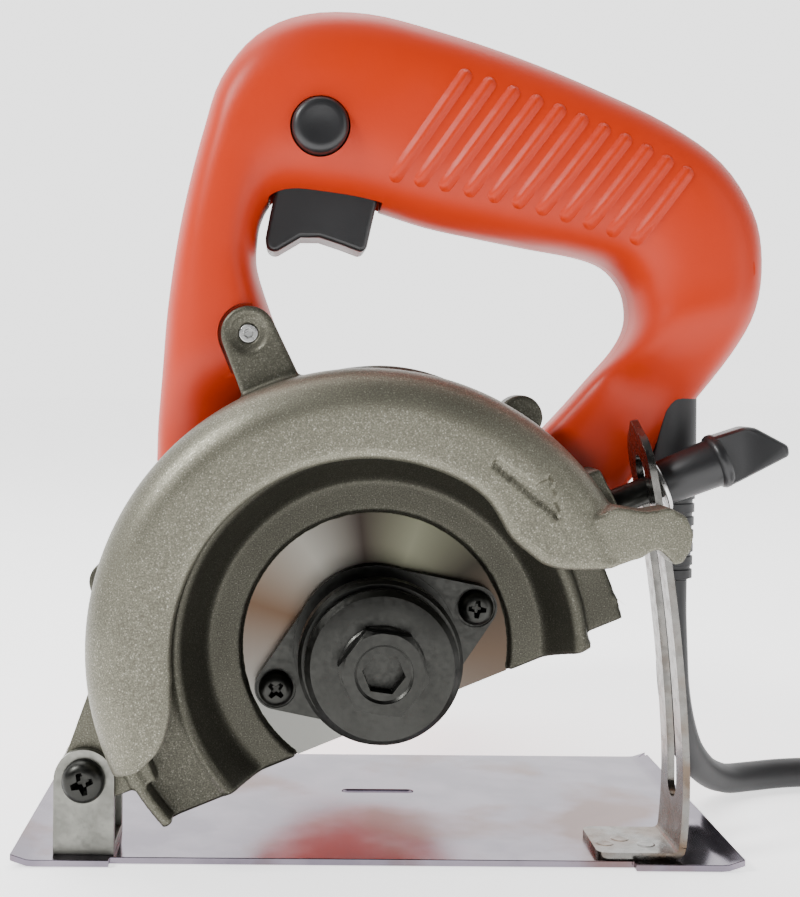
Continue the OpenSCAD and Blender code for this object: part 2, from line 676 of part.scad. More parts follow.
module handle_screws() {
    color("silver") at_saw() for (p = handle_posts) translate([p[0], 0, p[1]])
        rotate([0, 0, 180]) translate([0, -44.1, 0]) pan_screw(3.6, 2.4, 1.7, 0, 25);
}
module lug_screw() {
    color("silver") at_saw() translate([0, 0, lug_z]) difference() {
        rod(2.1, 9.4, 15.5);
        rod(1.2, 9, 11);
    }
}
module switch_body() {
    color("black") at_saw() at_trigger() translate([-16, shell_mid - 8, 11]) cube([30, 16, 15]);
}
module capacitor() {
    color("gold") at_saw() at_trigger() translate([17, shell_mid - 5, 8]) cube([15, 10, 10]);
}
module trigger() {
    color("black") at_saw() at_trigger() slab(shell_mid - 8, shell_mid + 8) polygon(concat(
        [[-11.6, 4.6], [-11.9, 0], [-12.4, -4.9], [-12.8, -10.9]],
        arc([-10.6, -11.9], 2, 2, 190, 300, 4),
        [[-4.7, -9.9], [-0.4, -9.4], [5, -10.5]], arc([9.2, -9.9], 1.6, 1.6, 260, 350, 4),
        [[11.8, 0], [11.6, 4.6]]));
}
module trigger_spring() {
    color("silver") at_saw() at_trigger() translate([0, shell_mid, 4.8]) cylinder(r = 3, h = 6);
}
module lock_button() {
    color("black") at_saw() translate([button_c[0], 0, button_c[1]]) turned() polygon(concat(
        [[0, 7.6]], arc([4.4, 9.6], 2, 2, -90, 0, 6), [[6.4, 14.5], [3, 14.5], [3, 15.5], [0, 15.5]]));
}
module lock_spring() {
    color("silver") at_saw() translate([button_c[0], 0, button_c[1]]) rod(2.4, 15.7, 18.8);
}
relief_len = 35;
module strain_relief() {
    color("black") translate([relief_end[0], relief_end[1], relief_end[2] + 0.1]) {
        cylinder(r1 = cord_d / 2 + 1.1, r2 = relief_r, h = relief_len - 9);
        translate([0, 0, relief_len - 9 - fine]) cylinder(r = relief_r, h = 9);
    }
}
clamp_c = [99, 45];
module cord_clamp() {
    color("black") at_saw() difference() {
        translate([clamp_c[0] - 4, 22, clamp_c[1] - 8]) cube([8, 3.5, 16]);
        for (z = [-5.5, 5.5]) translate([clamp_c[0], 0, clamp_c[1] + z]) rod(1.6, 20, 30);
    }
}
module cord_clamp_screws() {
    color("silver") at_saw() for (z = [-5.5, 5.5]) translate([clamp_c[0], 0, clamp_c[1] + z])
        pan_screw(2.8, 2, 1.5, 20, 33);
}

// ---- depth clamp ----------------------------------------------------------------------
stud_x = head_x(block_r, stud_z);
stud_tip = 90;
washer_x = 72.5;
knob_x = washer_x + 1.1;
module along_stud(x) { translate([x, guide_y, stud_z]) rotate([0, 90, 0]) children(); }
module depth_stud() {
    color("black") at_saw() {
        along_stud(stud_x - 13.8) cylinder(r = 2.98, h = stud_tip - stud_x + 13.8);
        along_stud(stud_x + 0.6) cylinder(r = 3.3, h = 3);
    }
}
module depth_washer() {
    color("silver") at_saw() difference() {
        along_stud(washer_x) cylinder(r = 6.4, h = 1);
        along_stud(washer_x - 1) cylinder(r = 3.1, h = 3);
    }
}
wing_start = 10.1;
module depth_knob() {
    color("black") at_saw() difference() {
        union() {
            along_stud(knob_x) cylinder(r = 5.9, h = 12.4);
            along_stud(knob_x + wing_start) rotate([90, 0, 0]) translate([0, 0, -3.4]) linear_extrude(6.8)
                polygon([[-5.6, 0], [-6.4, 5], [-6.4, 14.5], [-4.6, 18.6], [4.6, 18.6], [6.4, 14.5],
                    [6.4, 5], [5.6, 0]]);
        }
        along_stud(knob_x - 1) cylinder(r = 3.04, h = stud_tip + 3.6 - knob_x);
    }
}

base_plate();
pivot_bracket();
pivot_screw();
pivot_nut();
depth_guide();
cord_run();
cord_coil();
power_plug();
blade_guard();
gear_housing();
gear_housing_screws();
bearing_retainer();
retainer_screws();
spindle_bearing();
spindle_bush();
armature_front_bearing();
armature_rear_bearing();
motor_housing();
motor_housing_screws();
rear_cover();
rear_cover_screws();
fan_baffle();
field_core();
field_coils();
brush_holders();
carbon_brushes();
brush_caps();
handle_left();
handle_right();
handle_screws();
lug_screw();
switch_body();
capacitor();
cord_clamp();
cord_clamp_screws();
strain_relief();
depth_stud();
armature_shaft();
armature_core();
commutator();
cooling_fan();
spindle_shaft();
driven_gear();
spindle_clip();
inner_flange();
outer_flange();
clamp_bolt();
trigger();
trigger_spring();
lock_button();
lock_spring();
depth_washer();
depth_knob();
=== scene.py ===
import json
import math
import bpy
import bmesh
from mathutils import Matrix, Vector
from mathutils.bvhtree import BVHTree


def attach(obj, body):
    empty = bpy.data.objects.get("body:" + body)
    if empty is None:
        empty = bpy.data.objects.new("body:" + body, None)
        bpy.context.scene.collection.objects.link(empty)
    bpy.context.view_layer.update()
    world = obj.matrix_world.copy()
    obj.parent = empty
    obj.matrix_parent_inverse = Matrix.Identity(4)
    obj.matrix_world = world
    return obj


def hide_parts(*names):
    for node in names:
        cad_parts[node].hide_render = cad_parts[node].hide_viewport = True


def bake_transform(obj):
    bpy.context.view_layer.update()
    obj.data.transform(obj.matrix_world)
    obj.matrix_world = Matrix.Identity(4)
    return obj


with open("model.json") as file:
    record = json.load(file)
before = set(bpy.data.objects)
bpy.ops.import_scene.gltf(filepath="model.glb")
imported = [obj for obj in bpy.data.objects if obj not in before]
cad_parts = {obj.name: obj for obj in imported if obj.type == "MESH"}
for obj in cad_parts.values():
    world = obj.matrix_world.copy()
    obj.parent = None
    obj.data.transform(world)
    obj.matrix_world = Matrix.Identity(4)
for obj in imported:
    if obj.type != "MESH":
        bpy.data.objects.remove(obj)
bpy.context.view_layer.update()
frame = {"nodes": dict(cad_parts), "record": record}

scene = bpy.context.scene
MM = 0.001

# ---- camera -----------------------------------------------------------------------------
cam_data = bpy.data.cameras.new("camera")
cam = bpy.data.objects.new("camera", cam_data)
scene.collection.objects.link(cam)
cam.location = (-0.01965, -0.346, 0.108)
cam.rotation_euler = (math.pi / 2, -0.0079, 0)
cam_data.lens = 55.95
cam_data.sensor_width = 36
cam_data.shift_x = 0.1215
cam_data.shift_y = -0.0853
cam_data.clip_start = 0.01
scene.camera = cam


# ---- materials ----------------------------------------------------------------------------
def new_material(name, colour, rough, metal=0.0, coat=0.0, spec=0.5):
    mat = bpy.data.materials.new(name)
    mat.use_nodes = True
    shader = mat.node_tree.nodes["Principled BSDF"]
    shader.inputs["Base Color"].default_value = (*colour, 1)
    shader.inputs["Roughness"].default_value = rough
    shader.inputs["Metallic"].default_value = metal
    shader.inputs["Coat Weight"].default_value = coat
    shader.inputs["Specular IOR Level"].default_value = spec
    return mat


def coords(mat):
    return mat.node_tree.nodes.new("ShaderNodeTexCoord").outputs["Object"]


def noise(mat, scale, detail=2.0, stretch=None):
    nodes, links = mat.node_tree.nodes, mat.node_tree.links
    tex = nodes.new("ShaderNodeTexNoise")
    tex.inputs["Scale"].default_value = scale
    tex.inputs["Detail"].default_value = detail
    source = coords(mat)
    if stretch:
        mapping = nodes.new("ShaderNodeMapping")
        mapping.inputs["Scale"].default_value = stretch
        links.new(source, mapping.inputs["Vector"])
        source = mapping.outputs["Vector"]
    links.new(source, tex.inputs["Vector"])
    return tex.outputs["Fac"]


def ramp(mat, source, stops):
    node = mat.node_tree.nodes.new("ShaderNodeValToRGB")
    while len(node.color_ramp.elements) < len(stops):
        node.color_ramp.elements.new(0.5)
    for element, (place, colour) in zip(node.color_ramp.elements, stops):
        element.position = place
        element.color = (*colour, 1) if len(colour) == 3 else colour
    mat.node_tree.links.new(source, node.inputs["Fac"])
    return node.outputs["Color"]


def grey(v):
    return (v, v, v)


def bump(mat, source, strength, distance, under=None):
    node = mat.node_tree.nodes.new("ShaderNodeBump")
    node.inputs["Strength"].default_value = strength
    node.inputs["Distance"].default_value = distance
    mat.node_tree.links.new(source, node.inputs["Height"])
    if under:
        mat.node_tree.links.new(under, node.inputs["Normal"])
    return node.outputs["Normal"]


def wire(mat, source, socket):
    mat.node_tree.links.new(source, mat.node_tree.nodes["Principled BSDF"].inputs[socket])


def mix(mat, fac, a, b):
    node = mat.node_tree.nodes.new("ShaderNodeMix")
    node.data_type = "RGBA"
    mat.node_tree.links.new(fac, node.inputs["Factor"])
    for source, socket in ((a, node.inputs[6]), (b, node.inputs[7])):
        if hasattr(source, "is_output"):
            mat.node_tree.links.new(source, socket)
        else:
            socket.default_value = (*source, 1)
    return node.outputs[2]


def plastic(name, colour, rough, grain=2600, depth=0.00004, strength=0.35, spec=0.5):
    mat = new_material(name, colour, rough, spec=spec)
    wire(mat, bump(mat, noise(mat, grain, 1.0), strength, depth), "Normal")
    wire(mat, ramp(mat, noise(mat, 60, 3.0), [(0.3, grey(rough - 0.04)), (0.7, grey(rough + 0.05))]),
         "Roughness")
    return mat


def vector_node(mat, operation, a, b=None):
    """A vector maths node, whose second input is a constant."""
    node = mat.node_tree.nodes.new("ShaderNodeVectorMath")
    node.operation = operation
    mat.node_tree.links.new(a, node.inputs[0])
    if b:
        node.inputs[1].default_value = b
    return node


def maths(mat, operation, a, b=None):
    """A maths node, whose second input is a socket or a number."""
    node = mat.node_tree.nodes.new("ShaderNodeMath")
    node.operation = operation
    mat.node_tree.links.new(a, node.inputs[0])
    if hasattr(b, "is_output"):
        mat.node_tree.links.new(b, node.inputs[1])
    elif b is not None:
        node.inputs[1].default_value = b
    return node.outputs[0]


def spread(mat, source, start, end, low=0.0, high=1.0):
    """The source's range from start to end, mapped to low to high."""
    node = mat.node_tree.nodes.new("ShaderNodeMapRange")
    for socket, value in (("From Min", start), ("From Max", end), ("To Min", low), ("To Max", high)):
        node.inputs[socket].default_value = value
    mat.node_tree.links.new(source, node.inputs["Value"])
    return node.outputs[0]


def parts_of(mat, source):
    """The X, Y and Z of a vector."""
    node = mat.node_tree.nodes.new("ShaderNodeSeparateXYZ")
    mat.node_tree.links.new(source, node.inputs[0])
    return node.outputs


def steel(name, colour, rough, grain=900, vary=0.08, dark=0.8):
    mat = new_material(name, colour, rough, 1.0)
    wire(mat, ramp(mat, noise(mat, grain, 3.0), [(0.35, grey(rough - vary)), (0.7, grey(rough + vary))]),
         "Roughness")
    shade = tuple(dark * c for c in colour)
    wire(mat, ramp(mat, noise(mat, 110, 4.0), [(0.38, shade), (0.6, colour)]), "Base Color")
    wire(mat, bump(mat, noise(mat, grain * 2, 2.0), 0.2, 0.00003), "Normal")
    return mat


# depths in Y between which the painted hood light turns into painted bowl shade
HOOD_Y, BOWL_Y = -0.042, -0.031
FACE_TURNS = 26000


def cast_material():
    mat = new_material("cast_alloy", (0.36, 0.35, 0.31), 0.5, 0.75)
    fine = noise(mat, 3300, 1.0)
    colour = ramp(mat, fine, [(0.3, (0.105, 0.101, 0.076)), (0.56, (0.155, 0.149, 0.114)),
                              (0.68, (0.205, 0.198, 0.155)), (0.78, (0.40, 0.39, 0.33))])
    broad = ramp(mat, noise(mat, 45, 4.0), [(0.35, grey(0.85)), (0.65, grey(1.06))])
    # painted light on the hood and painted shade deep in the bowl: brighter towards the front in Y, darker
    # towards the back
    painted_hood_light_bowl_shade = spread(mat, parts_of(mat, coords(mat))["Y"], HOOD_Y, BOWL_Y, 1.12, 0.45)
    for factor in (broad, painted_hood_light_bowl_shade):
        node = mat.node_tree.nodes.new("ShaderNodeMix")
        node.data_type = "RGBA"
        node.blend_type = "MULTIPLY"
        node.inputs["Factor"].default_value = 1.0
        mat.node_tree.links.new(colour, node.inputs[6])
        mat.node_tree.links.new(factor, node.inputs[7])
        colour = node.outputs[2]
    wire(mat, colour, "Base Color")
    wire(mat, ramp(mat, fine, [(0.4, grey(0.5)), (0.74, grey(0.36))]), "Roughness")
    wire(mat, bump(mat, fine, 0.35, 0.00008, bump(mat, noise(mat, 900, 3.0), 0.25, 0.00006)), "Normal")
    return mat


def machined_material():
    mat = new_material("machined_face", (0.52, 0.50, 0.45), 0.3, 1.0)
    from_axis = vector_node(mat, "SUBTRACT", coords(mat), SAW @ Vector((0, 22, 0))).outputs[0]
    around_axis = vector_node(mat, "CROSS_PRODUCT", from_axis, (0, 1, 0)).outputs[0]
    turn = mat.node_tree.nodes.new("ShaderNodeVectorTransform")
    turn.vector_type = "VECTOR"
    turn.convert_from = "OBJECT"
    turn.convert_to = "WORLD"
    mat.node_tree.links.new(around_axis, turn.inputs[0])
    wire(mat, turn.outputs[0], "Tangent")
    mat.node_tree.nodes["Principled BSDF"].inputs["Anisotropic"].default_value = 0.85
    radius = vector_node(mat, "LENGTH", from_axis).outputs["Value"]
    rings = maths(mat, "SINE", maths(mat, "MULTIPLY", radius, FACE_TURNS))
    wire(mat, bump(mat, rings, 0.12, 0.00002), "Normal")
    # painted reflection: light and dark sectors by angle around the axis, a fan like the sheen of turned metal
    part = parts_of(mat, from_axis)
    angle = spread(mat, maths(mat, "ARCTAN2", part["X"], part["Z"]), -math.pi, math.pi)
    painted_reflection_fan = ramp(mat, angle,
               [(0, (0.19, 0.19, 0.175)), (0.17, (0.21, 0.21, 0.195)), (0.30, (0.10, 0.062, 0.040)),
                (0.40, (0.21, 0.20, 0.175)), (0.48, (0.028, 0.022, 0.019)), (0.555, (0.12, 0.12, 0.085)),
                (0.64, (0.028, 0.025, 0.02)), (0.76, (0.095, 0.068, 0.05)), (1, (0.19, 0.19, 0.175))])
    wire(mat, painted_reflection_fan, "Base Color")
    return mat


def plate_material():
    mat = new_material("plate_steel", (0.60, 0.58, 0.64), 0.13, 1.0)
    stain = ramp(mat, noise(mat, 26, 5.0), [(0.52, grey(0)), (0.64, grey(1))])
    tint = ramp(mat, noise(mat, 60, 4.0), [(0.4, (0.17, 0.15, 0.185)), (0.6, (0.225, 0.20, 0.24))])
    wire(mat, mix(mat, stain, tint, (0.15, 0.09, 0.08)), "Base Color")
    wire(mat, ramp(mat, noise(mat, 30, 5.0), [(0.4, grey(0.10)), (0.65, grey(0.24))]), "Roughness")
    wire(mat, bump(mat, noise(mat, 25, 2.0), 0.25, 0.0003, bump(mat, noise(mat, 1500, 2.0), 0.05, 0.00003)),
         "Normal")
    return mat


def guide_material():
    mat = new_material("guide_steel", (0.66, 0.65, 0.62), 0.24, 1.0)
    # stains, more of them towards the foot
    height = spread(mat, parts_of(mat, coords(mat))["Z"], 0.075, 0.01)
    patch = ramp(mat, noise(mat, 120, 5.0), [(0.42, grey(0)), (0.62, grey(1))])
    both = maths(mat, "MULTIPLY", height, patch)
    wire(mat, mix(mat, both, (0.17, 0.165, 0.155), (0.12, 0.085, 0.06)), "Base Color")
    wire(mat, ramp(mat, noise(mat, 400, 3.0), [(0.4, grey(0.18)), (0.65, grey(0.34))]), "Roughness")
    wire(mat, bump(mat, noise(mat, 500, 3.0), 0.08, 0.00003), "Normal")
    return mat


SAW = (Matrix.Scale(MM, 4) @ Matrix.Translation((-64.5, -43, 17.9))
       @ Matrix.Rotation(-math.radians(22.4), 4, "Y") @ Matrix.Translation((70.2, 0, 0)))
PIVOT = Matrix.Scale(MM, 4) @ Matrix.Translation((-64.5, -43, 17.9))
ROW = Matrix.Scale(MM, 4)

MATS = {
    "plate_steel": plate_material(),
    "bracket_steel": steel("bracket_steel", (0.24, 0.24, 0.215), 0.42, dark=0.7),
    "guide_steel": guide_material(),
    "black_steel": steel("black_steel", (0.040, 0.040, 0.037), 0.36, dark=0.85),
    "bright_steel": steel("bright_steel", (0.62, 0.62, 0.61), 0.3),
    "cast_alloy": cast_material(),
    "machined_face": machined_material(),
    "orange_plastic": plastic("orange_plastic", (0.47, 0.024, 0.0), 0.42, spec=0.3),
    "black_plastic": plastic("black_plastic", (0.012, 0.012, 0.013), 0.38),
    "cord_rubber": plastic("cord_rubber", (0.016, 0.016, 0.017), 0.55, 1800),
    "bronze": steel("bronze", (0.5, 0.32, 0.15), 0.4),
    "copper": steel("copper", (0.55, 0.22, 0.1), 0.35),
    "laminated_steel": steel("laminated_steel", (0.25, 0.25, 0.26), 0.45),
    "carbon": plastic("carbon", (0.02, 0.02, 0.02), 0.6),
    "film_yellow": plastic("film_yellow", (0.7, 0.45, 0.06), 0.3),
}


# ---- mesh helpers ---------------------------------------------------------------------------
def solid(name, verts, faces, merge=True):
    mesh = bpy.data.meshes.new(name)
    mesh.from_pydata([tuple(v) for v in verts], [], faces)
    work = bmesh.new()
    work.from_mesh(mesh)
    if merge:
        bmesh.ops.remove_doubles(work, verts=work.verts, dist=1e-4)
    bmesh.ops.dissolve_degenerate(work, edges=work.edges, dist=1e-5)
    bmesh.ops.recalc_face_normals(work, faces=work.faces)
    work.to_mesh(mesh)
    work.free()
    obj = bpy.data.objects.new(name, mesh)
    scene.collection.objects.link(obj)
    return obj


def prism(outline, y0, y1, name="prism"):
    n = len(outline)
    verts = [(x, y0, z) for x, z in outline] + [(x, y1, z) for x, z in outline]
    faces = [list(range(n)), list(range(2 * n - 1, n - 1, -1))]
    faces += [[i, (i + 1) % n, (i + 1) % n + n, i + n] for i in range(n)]
    return solid(name, verts, faces)


def loft(rings, name="loft", closed=False):
    n, m = len(rings), len(rings[0])
    verts = [p for ring in rings for p in ring]
    faces = []
    for i in range(n if closed else n - 1):
        for k in range(m):
            k2, j = (k + 1) % m, (i + 1) % n
            faces.append([i * m + k, i * m + k2, j * m + k2, j * m + k])
    if not closed:
        faces += [list(range(m - 1, -1, -1)), [(n - 1) * m + k for k in range(m)]]
    return solid(name, verts, faces)


def spun(profile, a0=0, a1=360, steps=96, c=(0, 0), name="spun"):
    full = a1 - a0 >= 360
    rings = []
    for i in range(steps if full else steps + 1):
        a = math.radians(a0 + (a1 - a0) * i / steps)
        rings.append([(c[0] + r * math.cos(a), y, c[1] + r * math.sin(a)) for r, y in profile])
    return loft(rings, name, closed=full)


def rod(r, y0, y1, c=(0, 0), steps=64):
    return prism([(c[0] + r * math.cos(math.tau * i / steps), c[1] + r * math.sin(math.tau * i / steps))
                  for i in range(steps)], y0, y1)


def block(x0, x1, y0, y1, z0, z1):
    return prism([(x0, z0), (x1, z0), (x1, z1), (x0, z1)], y0, y1)


def arc(cx, cy, rx, ry, a0, a1, n=8):
    return [(cx + rx * math.cos(math.radians(a0 + (a1 - a0) * i / n)),
             cy + ry * math.sin(math.radians(a0 + (a1 - a0) * i / n))) for i in range(n + 1)]


def bake(obj):
    graph = bpy.context.evaluated_depsgraph_get()
    graph.update()
    mesh = bpy.data.meshes.new_from_object(obj.evaluated_get(graph))
    obj.modifiers.clear()
    obj.data = mesh
    return obj


def combine(obj, others, operation):
    for other in others:
        mod = obj.modifiers.new("combine", "BOOLEAN")
        mod.object = other
        mod.operation = operation
        mod.solver = "EXACT"
    bake(obj)
    for other in others:
        bpy.data.objects.remove(other)
    return obj


def join(obj, *others):
    return combine(obj, others, "UNION")


def cut(obj, *others):
    return combine(obj, others, "DIFFERENCE")


def remesh(obj, voxel, rounds):
    mod = obj.modifiers.new("remesh", "REMESH")
    mod.mode = "VOXEL"
    mod.voxel_size = voxel
    mod = obj.modifiers.new("smooth", "SMOOTH")
    mod.factor = 0.5
    mod.iterations = rounds
    return bake(obj)


def together(name, objs):
    """One object from several, without merging their volumes."""
    work = bmesh.new()
    for o in objs:
        work.from_mesh(o.data)
    mesh = bpy.data.meshes.new(name)
    work.to_mesh(mesh)
    work.free()
    for o in objs:
        bpy.data.objects.remove(o)
    obj = bpy.data.objects.new(name, mesh)
    scene.collection.objects.link(obj)
    return obj


def done(obj, name, place, body, nodes, slot, material=None, sharp=38, bevel=0.0, segments=2):
    obj.name = name
    obj.data.name = name
    obj.data.transform(place)
    obj.data.materials.clear()
    obj.data.materials.append(MATS[material or slot])
    obj.data.shade_smooth()
    obj.data.set_sharp_from_angle(angle=math.radians(sharp))
    if bevel:
        mod = obj.modifiers.new("bevel", "BEVEL")
        mod.width = bevel * MM
        mod.segments = segments
        mod.limit_method = "ANGLE"
        mod.angle_limit = math.radians(38)
        mod.harden_normals = True
    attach(obj, body)
    if nodes:
        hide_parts(*nodes)
    return obj


def smooth_curve(p, steps):
    """Points of a Catmull-Rom curve through p."""
    out = []
    for i in range(len(p) - 1):
        a, b, c, d = p[max(i - 1, 0)], p[i], p[i + 1], p[min(i + 2, len(p) - 1)]
        for k in range(steps):
            t = k / steps
            out.append([0.5 * (2 * q + (r - o) * t + (2 * o - 5 * q + 4 * r - s) * t * t
                               + (3 * q - o - 3 * r + s) * t ** 3) for o, q, r, s in zip(a, b, c, d)])
    return out + [list(p[-1])]


def keyed(keys, s):
    """A smooth value between keys [(place, value), ...]."""
    for (s0, v0), (s1, v1) in zip(keys, keys[1:]):
        if s <= s1:
            t = min(max((s - s0) / (s1 - s0), 0), 1)
            return v0 + (v1 - v0) * t * t * (3 - 2 * t)
    return keys[-1][1]


# ---- cord -------------------------------------------------------------------------------------
CORD_D = 0.0074
CORD_ROUTE = [
    (0.0706, -0.016, 0.0598), (0.0706, -0.016, 0.052), (0.0712, -0.0151, 0.043), (0.0724, -0.0126, 0.0335),
    (0.0751, -0.008, 0.024), (0.0792, -0.002, 0.0155), (0.085, 0.005, 0.0088), (0.092, 0.0115, 0.0048),
    (0.1, 0.0165, 0.0038), (0.109, 0.0195, 0.0038), (0.119, 0.021, 0.0038), (0.131, 0.0205, 0.0038),
    (0.144, 0.018, 0.0038), (0.157, 0.0135, 0.0038), (0.17, 0.0095, 0.0038), (0.183, 0.008, 0.0038)]
COIL_C = (0.186, -0.0434)
OUTER, MIDDLE, INNER = 0.0514, 0.044, 0.0366
TURN_R = [(0, OUTER), (290, OUTER), (350, MIDDLE), (650, MIDDLE), (710, INNER), (1220, INNER),
          (1290, MIDDLE), (1580, MIDDLE), (1650, OUTER), (1860, OUTER), (1980, 0.03), (2000, 0.03)]
TURN_Z = [(0, 0.0038), (930, 0.0038), (1000, 0.0112), (1830, 0.0112), (1890, 0.0186), (2000, 0.0214)]


def cord_path():
    points = smooth_curve(CORD_ROUTE, 5)
    for s in range(4, 2001, 4):
        a, r = math.radians(s), keyed(TURN_R, s)
        points.append([COIL_C[0] + r * math.sin(a), COIL_C[1] + r * math.cos(a), keyed(TURN_Z, s)])
    a = math.radians(2000)
    for step in (0.002, 0.005):
        points.append([COIL_C[0] + 0.03 * math.sin(a) + step * math.cos(a),
                       COIL_C[1] + 0.03 * math.cos(a) - step * math.sin(a), 0.0214])
    return [Vector(p) for p in points]


def tube(name, points, r, sides):
    rings, across = [], None
    for i, p in enumerate(points):
        ahead = (points[min(i + 1, len(points) - 1)] - points[max(i - 1, 0)]).normalized()
        across = Vector((0, 1, 0)) if across is None else across
        across = (across - across.dot(ahead) * ahead).normalized()
        other = ahead.cross(across)
        rings.append([p + r * (across * math.cos(math.tau * k / sides) + other * math.sin(math.tau * k / sides))
                      for k in range(sides)])
    verts = [p for ring in rings for p in ring]
    faces = [[i * sides + k, i * sides + (k + 1) % sides, (i + 1) * sides + (k + 1) % sides,
              (i + 1) * sides + k] for i in range(len(rings) - 1) for k in range(sides)]
    faces += [list(range(sides - 1, -1, -1)), [(len(rings) - 1) * sides + k for k in range(sides)]]
    return solid(name, verts, faces, merge=False)


path = cord_path()
cord = tube("power_cord", path, CORD_D / 2, 14)
cord.data.materials.append(MATS["cord_rubber"])
cord.data.shade_smooth()
cord.data.set_sharp_from_angle(angle=math.radians(60))
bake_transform(cord)
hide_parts("cord_run", "cord_coil")

# The plug: a moulded block, narrower behind, with two round pins and a ribbed tail
PLUG_Z, PIN_X = 6.5, 9.5
plug_outline = [(-12, 6.4), (-12, 3), (-11, 1), (-9, 0.1), (9, 0.1), (11, 1), (12, 3), (12, 10), (11, 12),
                (9, 12.9), (-9, 12.9), (-11, 12), (-12, 10)]
plug = loft([[(x * w, y, PLUG_Z + (z - PLUG_Z) * h) for x, z in plug_outline]
             for y, w, h in ((-16, 0.62, 0.86), (-14.5, 0.7, 0.94), (-6, 0.84, 0.98), (4, 0.98, 1), (14, 1, 1),
                             (16, 0.97, 0.96))])
tail = spun([(0, -26), (4.6, -26), (4.6, -24.4), (4, -24.2), (4, -22.8), (4.9, -22.6), (4.9, -21), (4.2, -20.8),
             (4.2, -19.4), (5.2, -19.2), (5.2, -17.6), (4.6, -17.4), (5.6, -15.4), (0, -15)], steps=32,
            c=(0, PLUG_Z))
pins = [spun([(0, 15.5), (2, 15.5), (2, 33.6), (1.4, 34.8), (0, 34.9)], steps=24, c=(x, PLUG_Z))
        for x in (-PIN_X, PIN_X)]
plug_place = (ROW @ Matrix.Translation((186, -43.4, 14.9)) @ Matrix.Rotation(math.radians(-110), 4, "Z")
              @ Matrix.Translation((30, -27, 0)) @ Matrix.Rotation(math.pi, 4, "Z"))
pins = done(together("plug_pins", pins), "plug_pins", plug_place, "base", [], "cord_rubber", "bright_steel")
plug = done(together("plug", [plug, tail]), "plug", plug_place, "base", ["power_plug"], "cord_rubber")


# ---- screws and small hardware ---------------------------------------------------------------
def cross_screw(head_r, head_h, y0, c=(0, 0), depth=0.7, turn=0.0, shank=None):
    """A pan-head screw facing -Y, with a cross recess turned by some degrees."""
    r = head_h * 0.8
    profile = [(0, y0)] + [(head_r - r + x, y0 + r + y) for x, y in arc(0, 0, r, r, -90, 0, 6)]
    profile += [(head_r, y0 + head_h)]
    if shank:
        profile += [(shank[0], y0 + head_h), (shank[0], shank[1]), (0, shank[1])]
    else:
        profile += [(0, y0 + head_h)]
    head = spun(profile, steps=40, c=c)
    w, n = head_r * 0.13, head_r * 0.56
    star = []
    for i in range(4):
        a = math.radians(turn + 90 * i)
        u, v = (math.cos(a), math.sin(a)), (-math.sin(a), math.cos(a))
        star += [(c[0] + u[0] * n - v[0] * w, c[1] + u[1] * n - v[1] * w),
                 (c[0] + u[0] * n + v[0] * w, c[1] + u[1] * n + v[1] * w),
                 (c[0] + (u[0] + v[0]) * w * 1.5, c[1] + (u[1] + v[1]) * w * 1.5)]
    tool = loft([[(c[0] + (x - c[0]) * k, y, c[1] + (z - c[1]) * k) for x, z in star]
                 for y, k in ((y0 - 0.5, 1.05), (y0 + head_h * depth, 0.45))])
    return cut(head, tool)


# ---- base -------------------------------------------------------------------------------------
def base_plate():
    rows = [(-80, 1.3, 2.8), (-79.6, 1.15, 2.62), (-76.5, 0.12, 1.62), (-75, 0, 1.5), (75, 0, 1.5),
            (76.5, 0.12, 1.62), (79.6, 1.15, 2.62), (80, 1.3, 2.8)]
    outline = [(x, lo) for x, lo, hi in rows] + [(x, hi) for x, lo, hi in reversed(rows)]
    plate = prism(outline, -43, 43)
    slot = prism(arc(-4.4, 9, 1.5, 1.5, 90, 270, 10) + arc(10.8, 9, 1.5, 1.5, -90, 90, 10), -5, 8)
    slot.data.transform(Matrix(((1, 0, 0, 0), (0, 0, 1, 0), (0, -1, 0, 0), (0, 0, 0, 1))))
    cuts = [block(-58.5, 56.3, -44, -40.8, -1, 4), slot]
    for x in (-1, 1):
        for y in (-1, 1):
            corner = prism([(x * 81, 0), (x * 77.6, 0), (x * 81, 3.4)], -5, 8)
            corner.data.transform(Matrix(((1, 0, 0, 0), (0, 0, y, y * 43 - y * 2.4), (0, -1, 0, 0),
                                          (0, 0, 0, 1))))
            cuts.append(corner)
    return cut(plate, *cuts)


done(base_plate(), "base_plate_visual", ROW, "base", ["base_plate"], "plate_steel", bevel=0.3, sharp=30)


def bracket():
    out = []
    for y, bend in ((3.4, 0.9), (17.6, -0.9)):
        outline = arc(0, 0, 6.7, 6.7, 0, 180, 24) + [(-6.7, -16.4), (6.7, -16.4)]
        out.append(prism(outline, y, y + 2))
    ears = join(out[0], out[1], block(-6.7, 6.7, 3.5, 19.5, -16.4, -14.4))
    holes = rod(3.2, 0, 22, steps=32)
    return cut(ears, holes)


done(bracket(), "bracket", PIVOT, "base", ["pivot_bracket"], "bracket_steel", bevel=0.45)
screw = cross_screw(4.8, 3.2, 0.1, turn=18, shank=(3, 26))
done(screw, "pivot_bolt", PIVOT, "base", ["pivot_screw"], "black_steel")
NUT_R = 5.77
nut = prism([(NUT_R * math.cos(math.tau * i / 6), NUT_R * math.sin(math.tau * i / 6)) for i in range(6)],
            19.7, 24.6)
cut(nut, rod(3.02, 19, 25, steps=32))
done(nut, "pivot_lock_nut", PIVOT, "base", ["pivot_nut"], "black_steel", bevel=0.35)


STRIP_Y, STRIP_HALF, STRIP_T = 12, 9, 1.6
STRIP_R, STRIP_BEND, STRIP_TOP_R = 131.6, math.radians(3), 450
STRIP_ROUND_Z = -16.4 + 85.7
FOOT_Z, FOOT_BEND_R = -14.9, 1.2


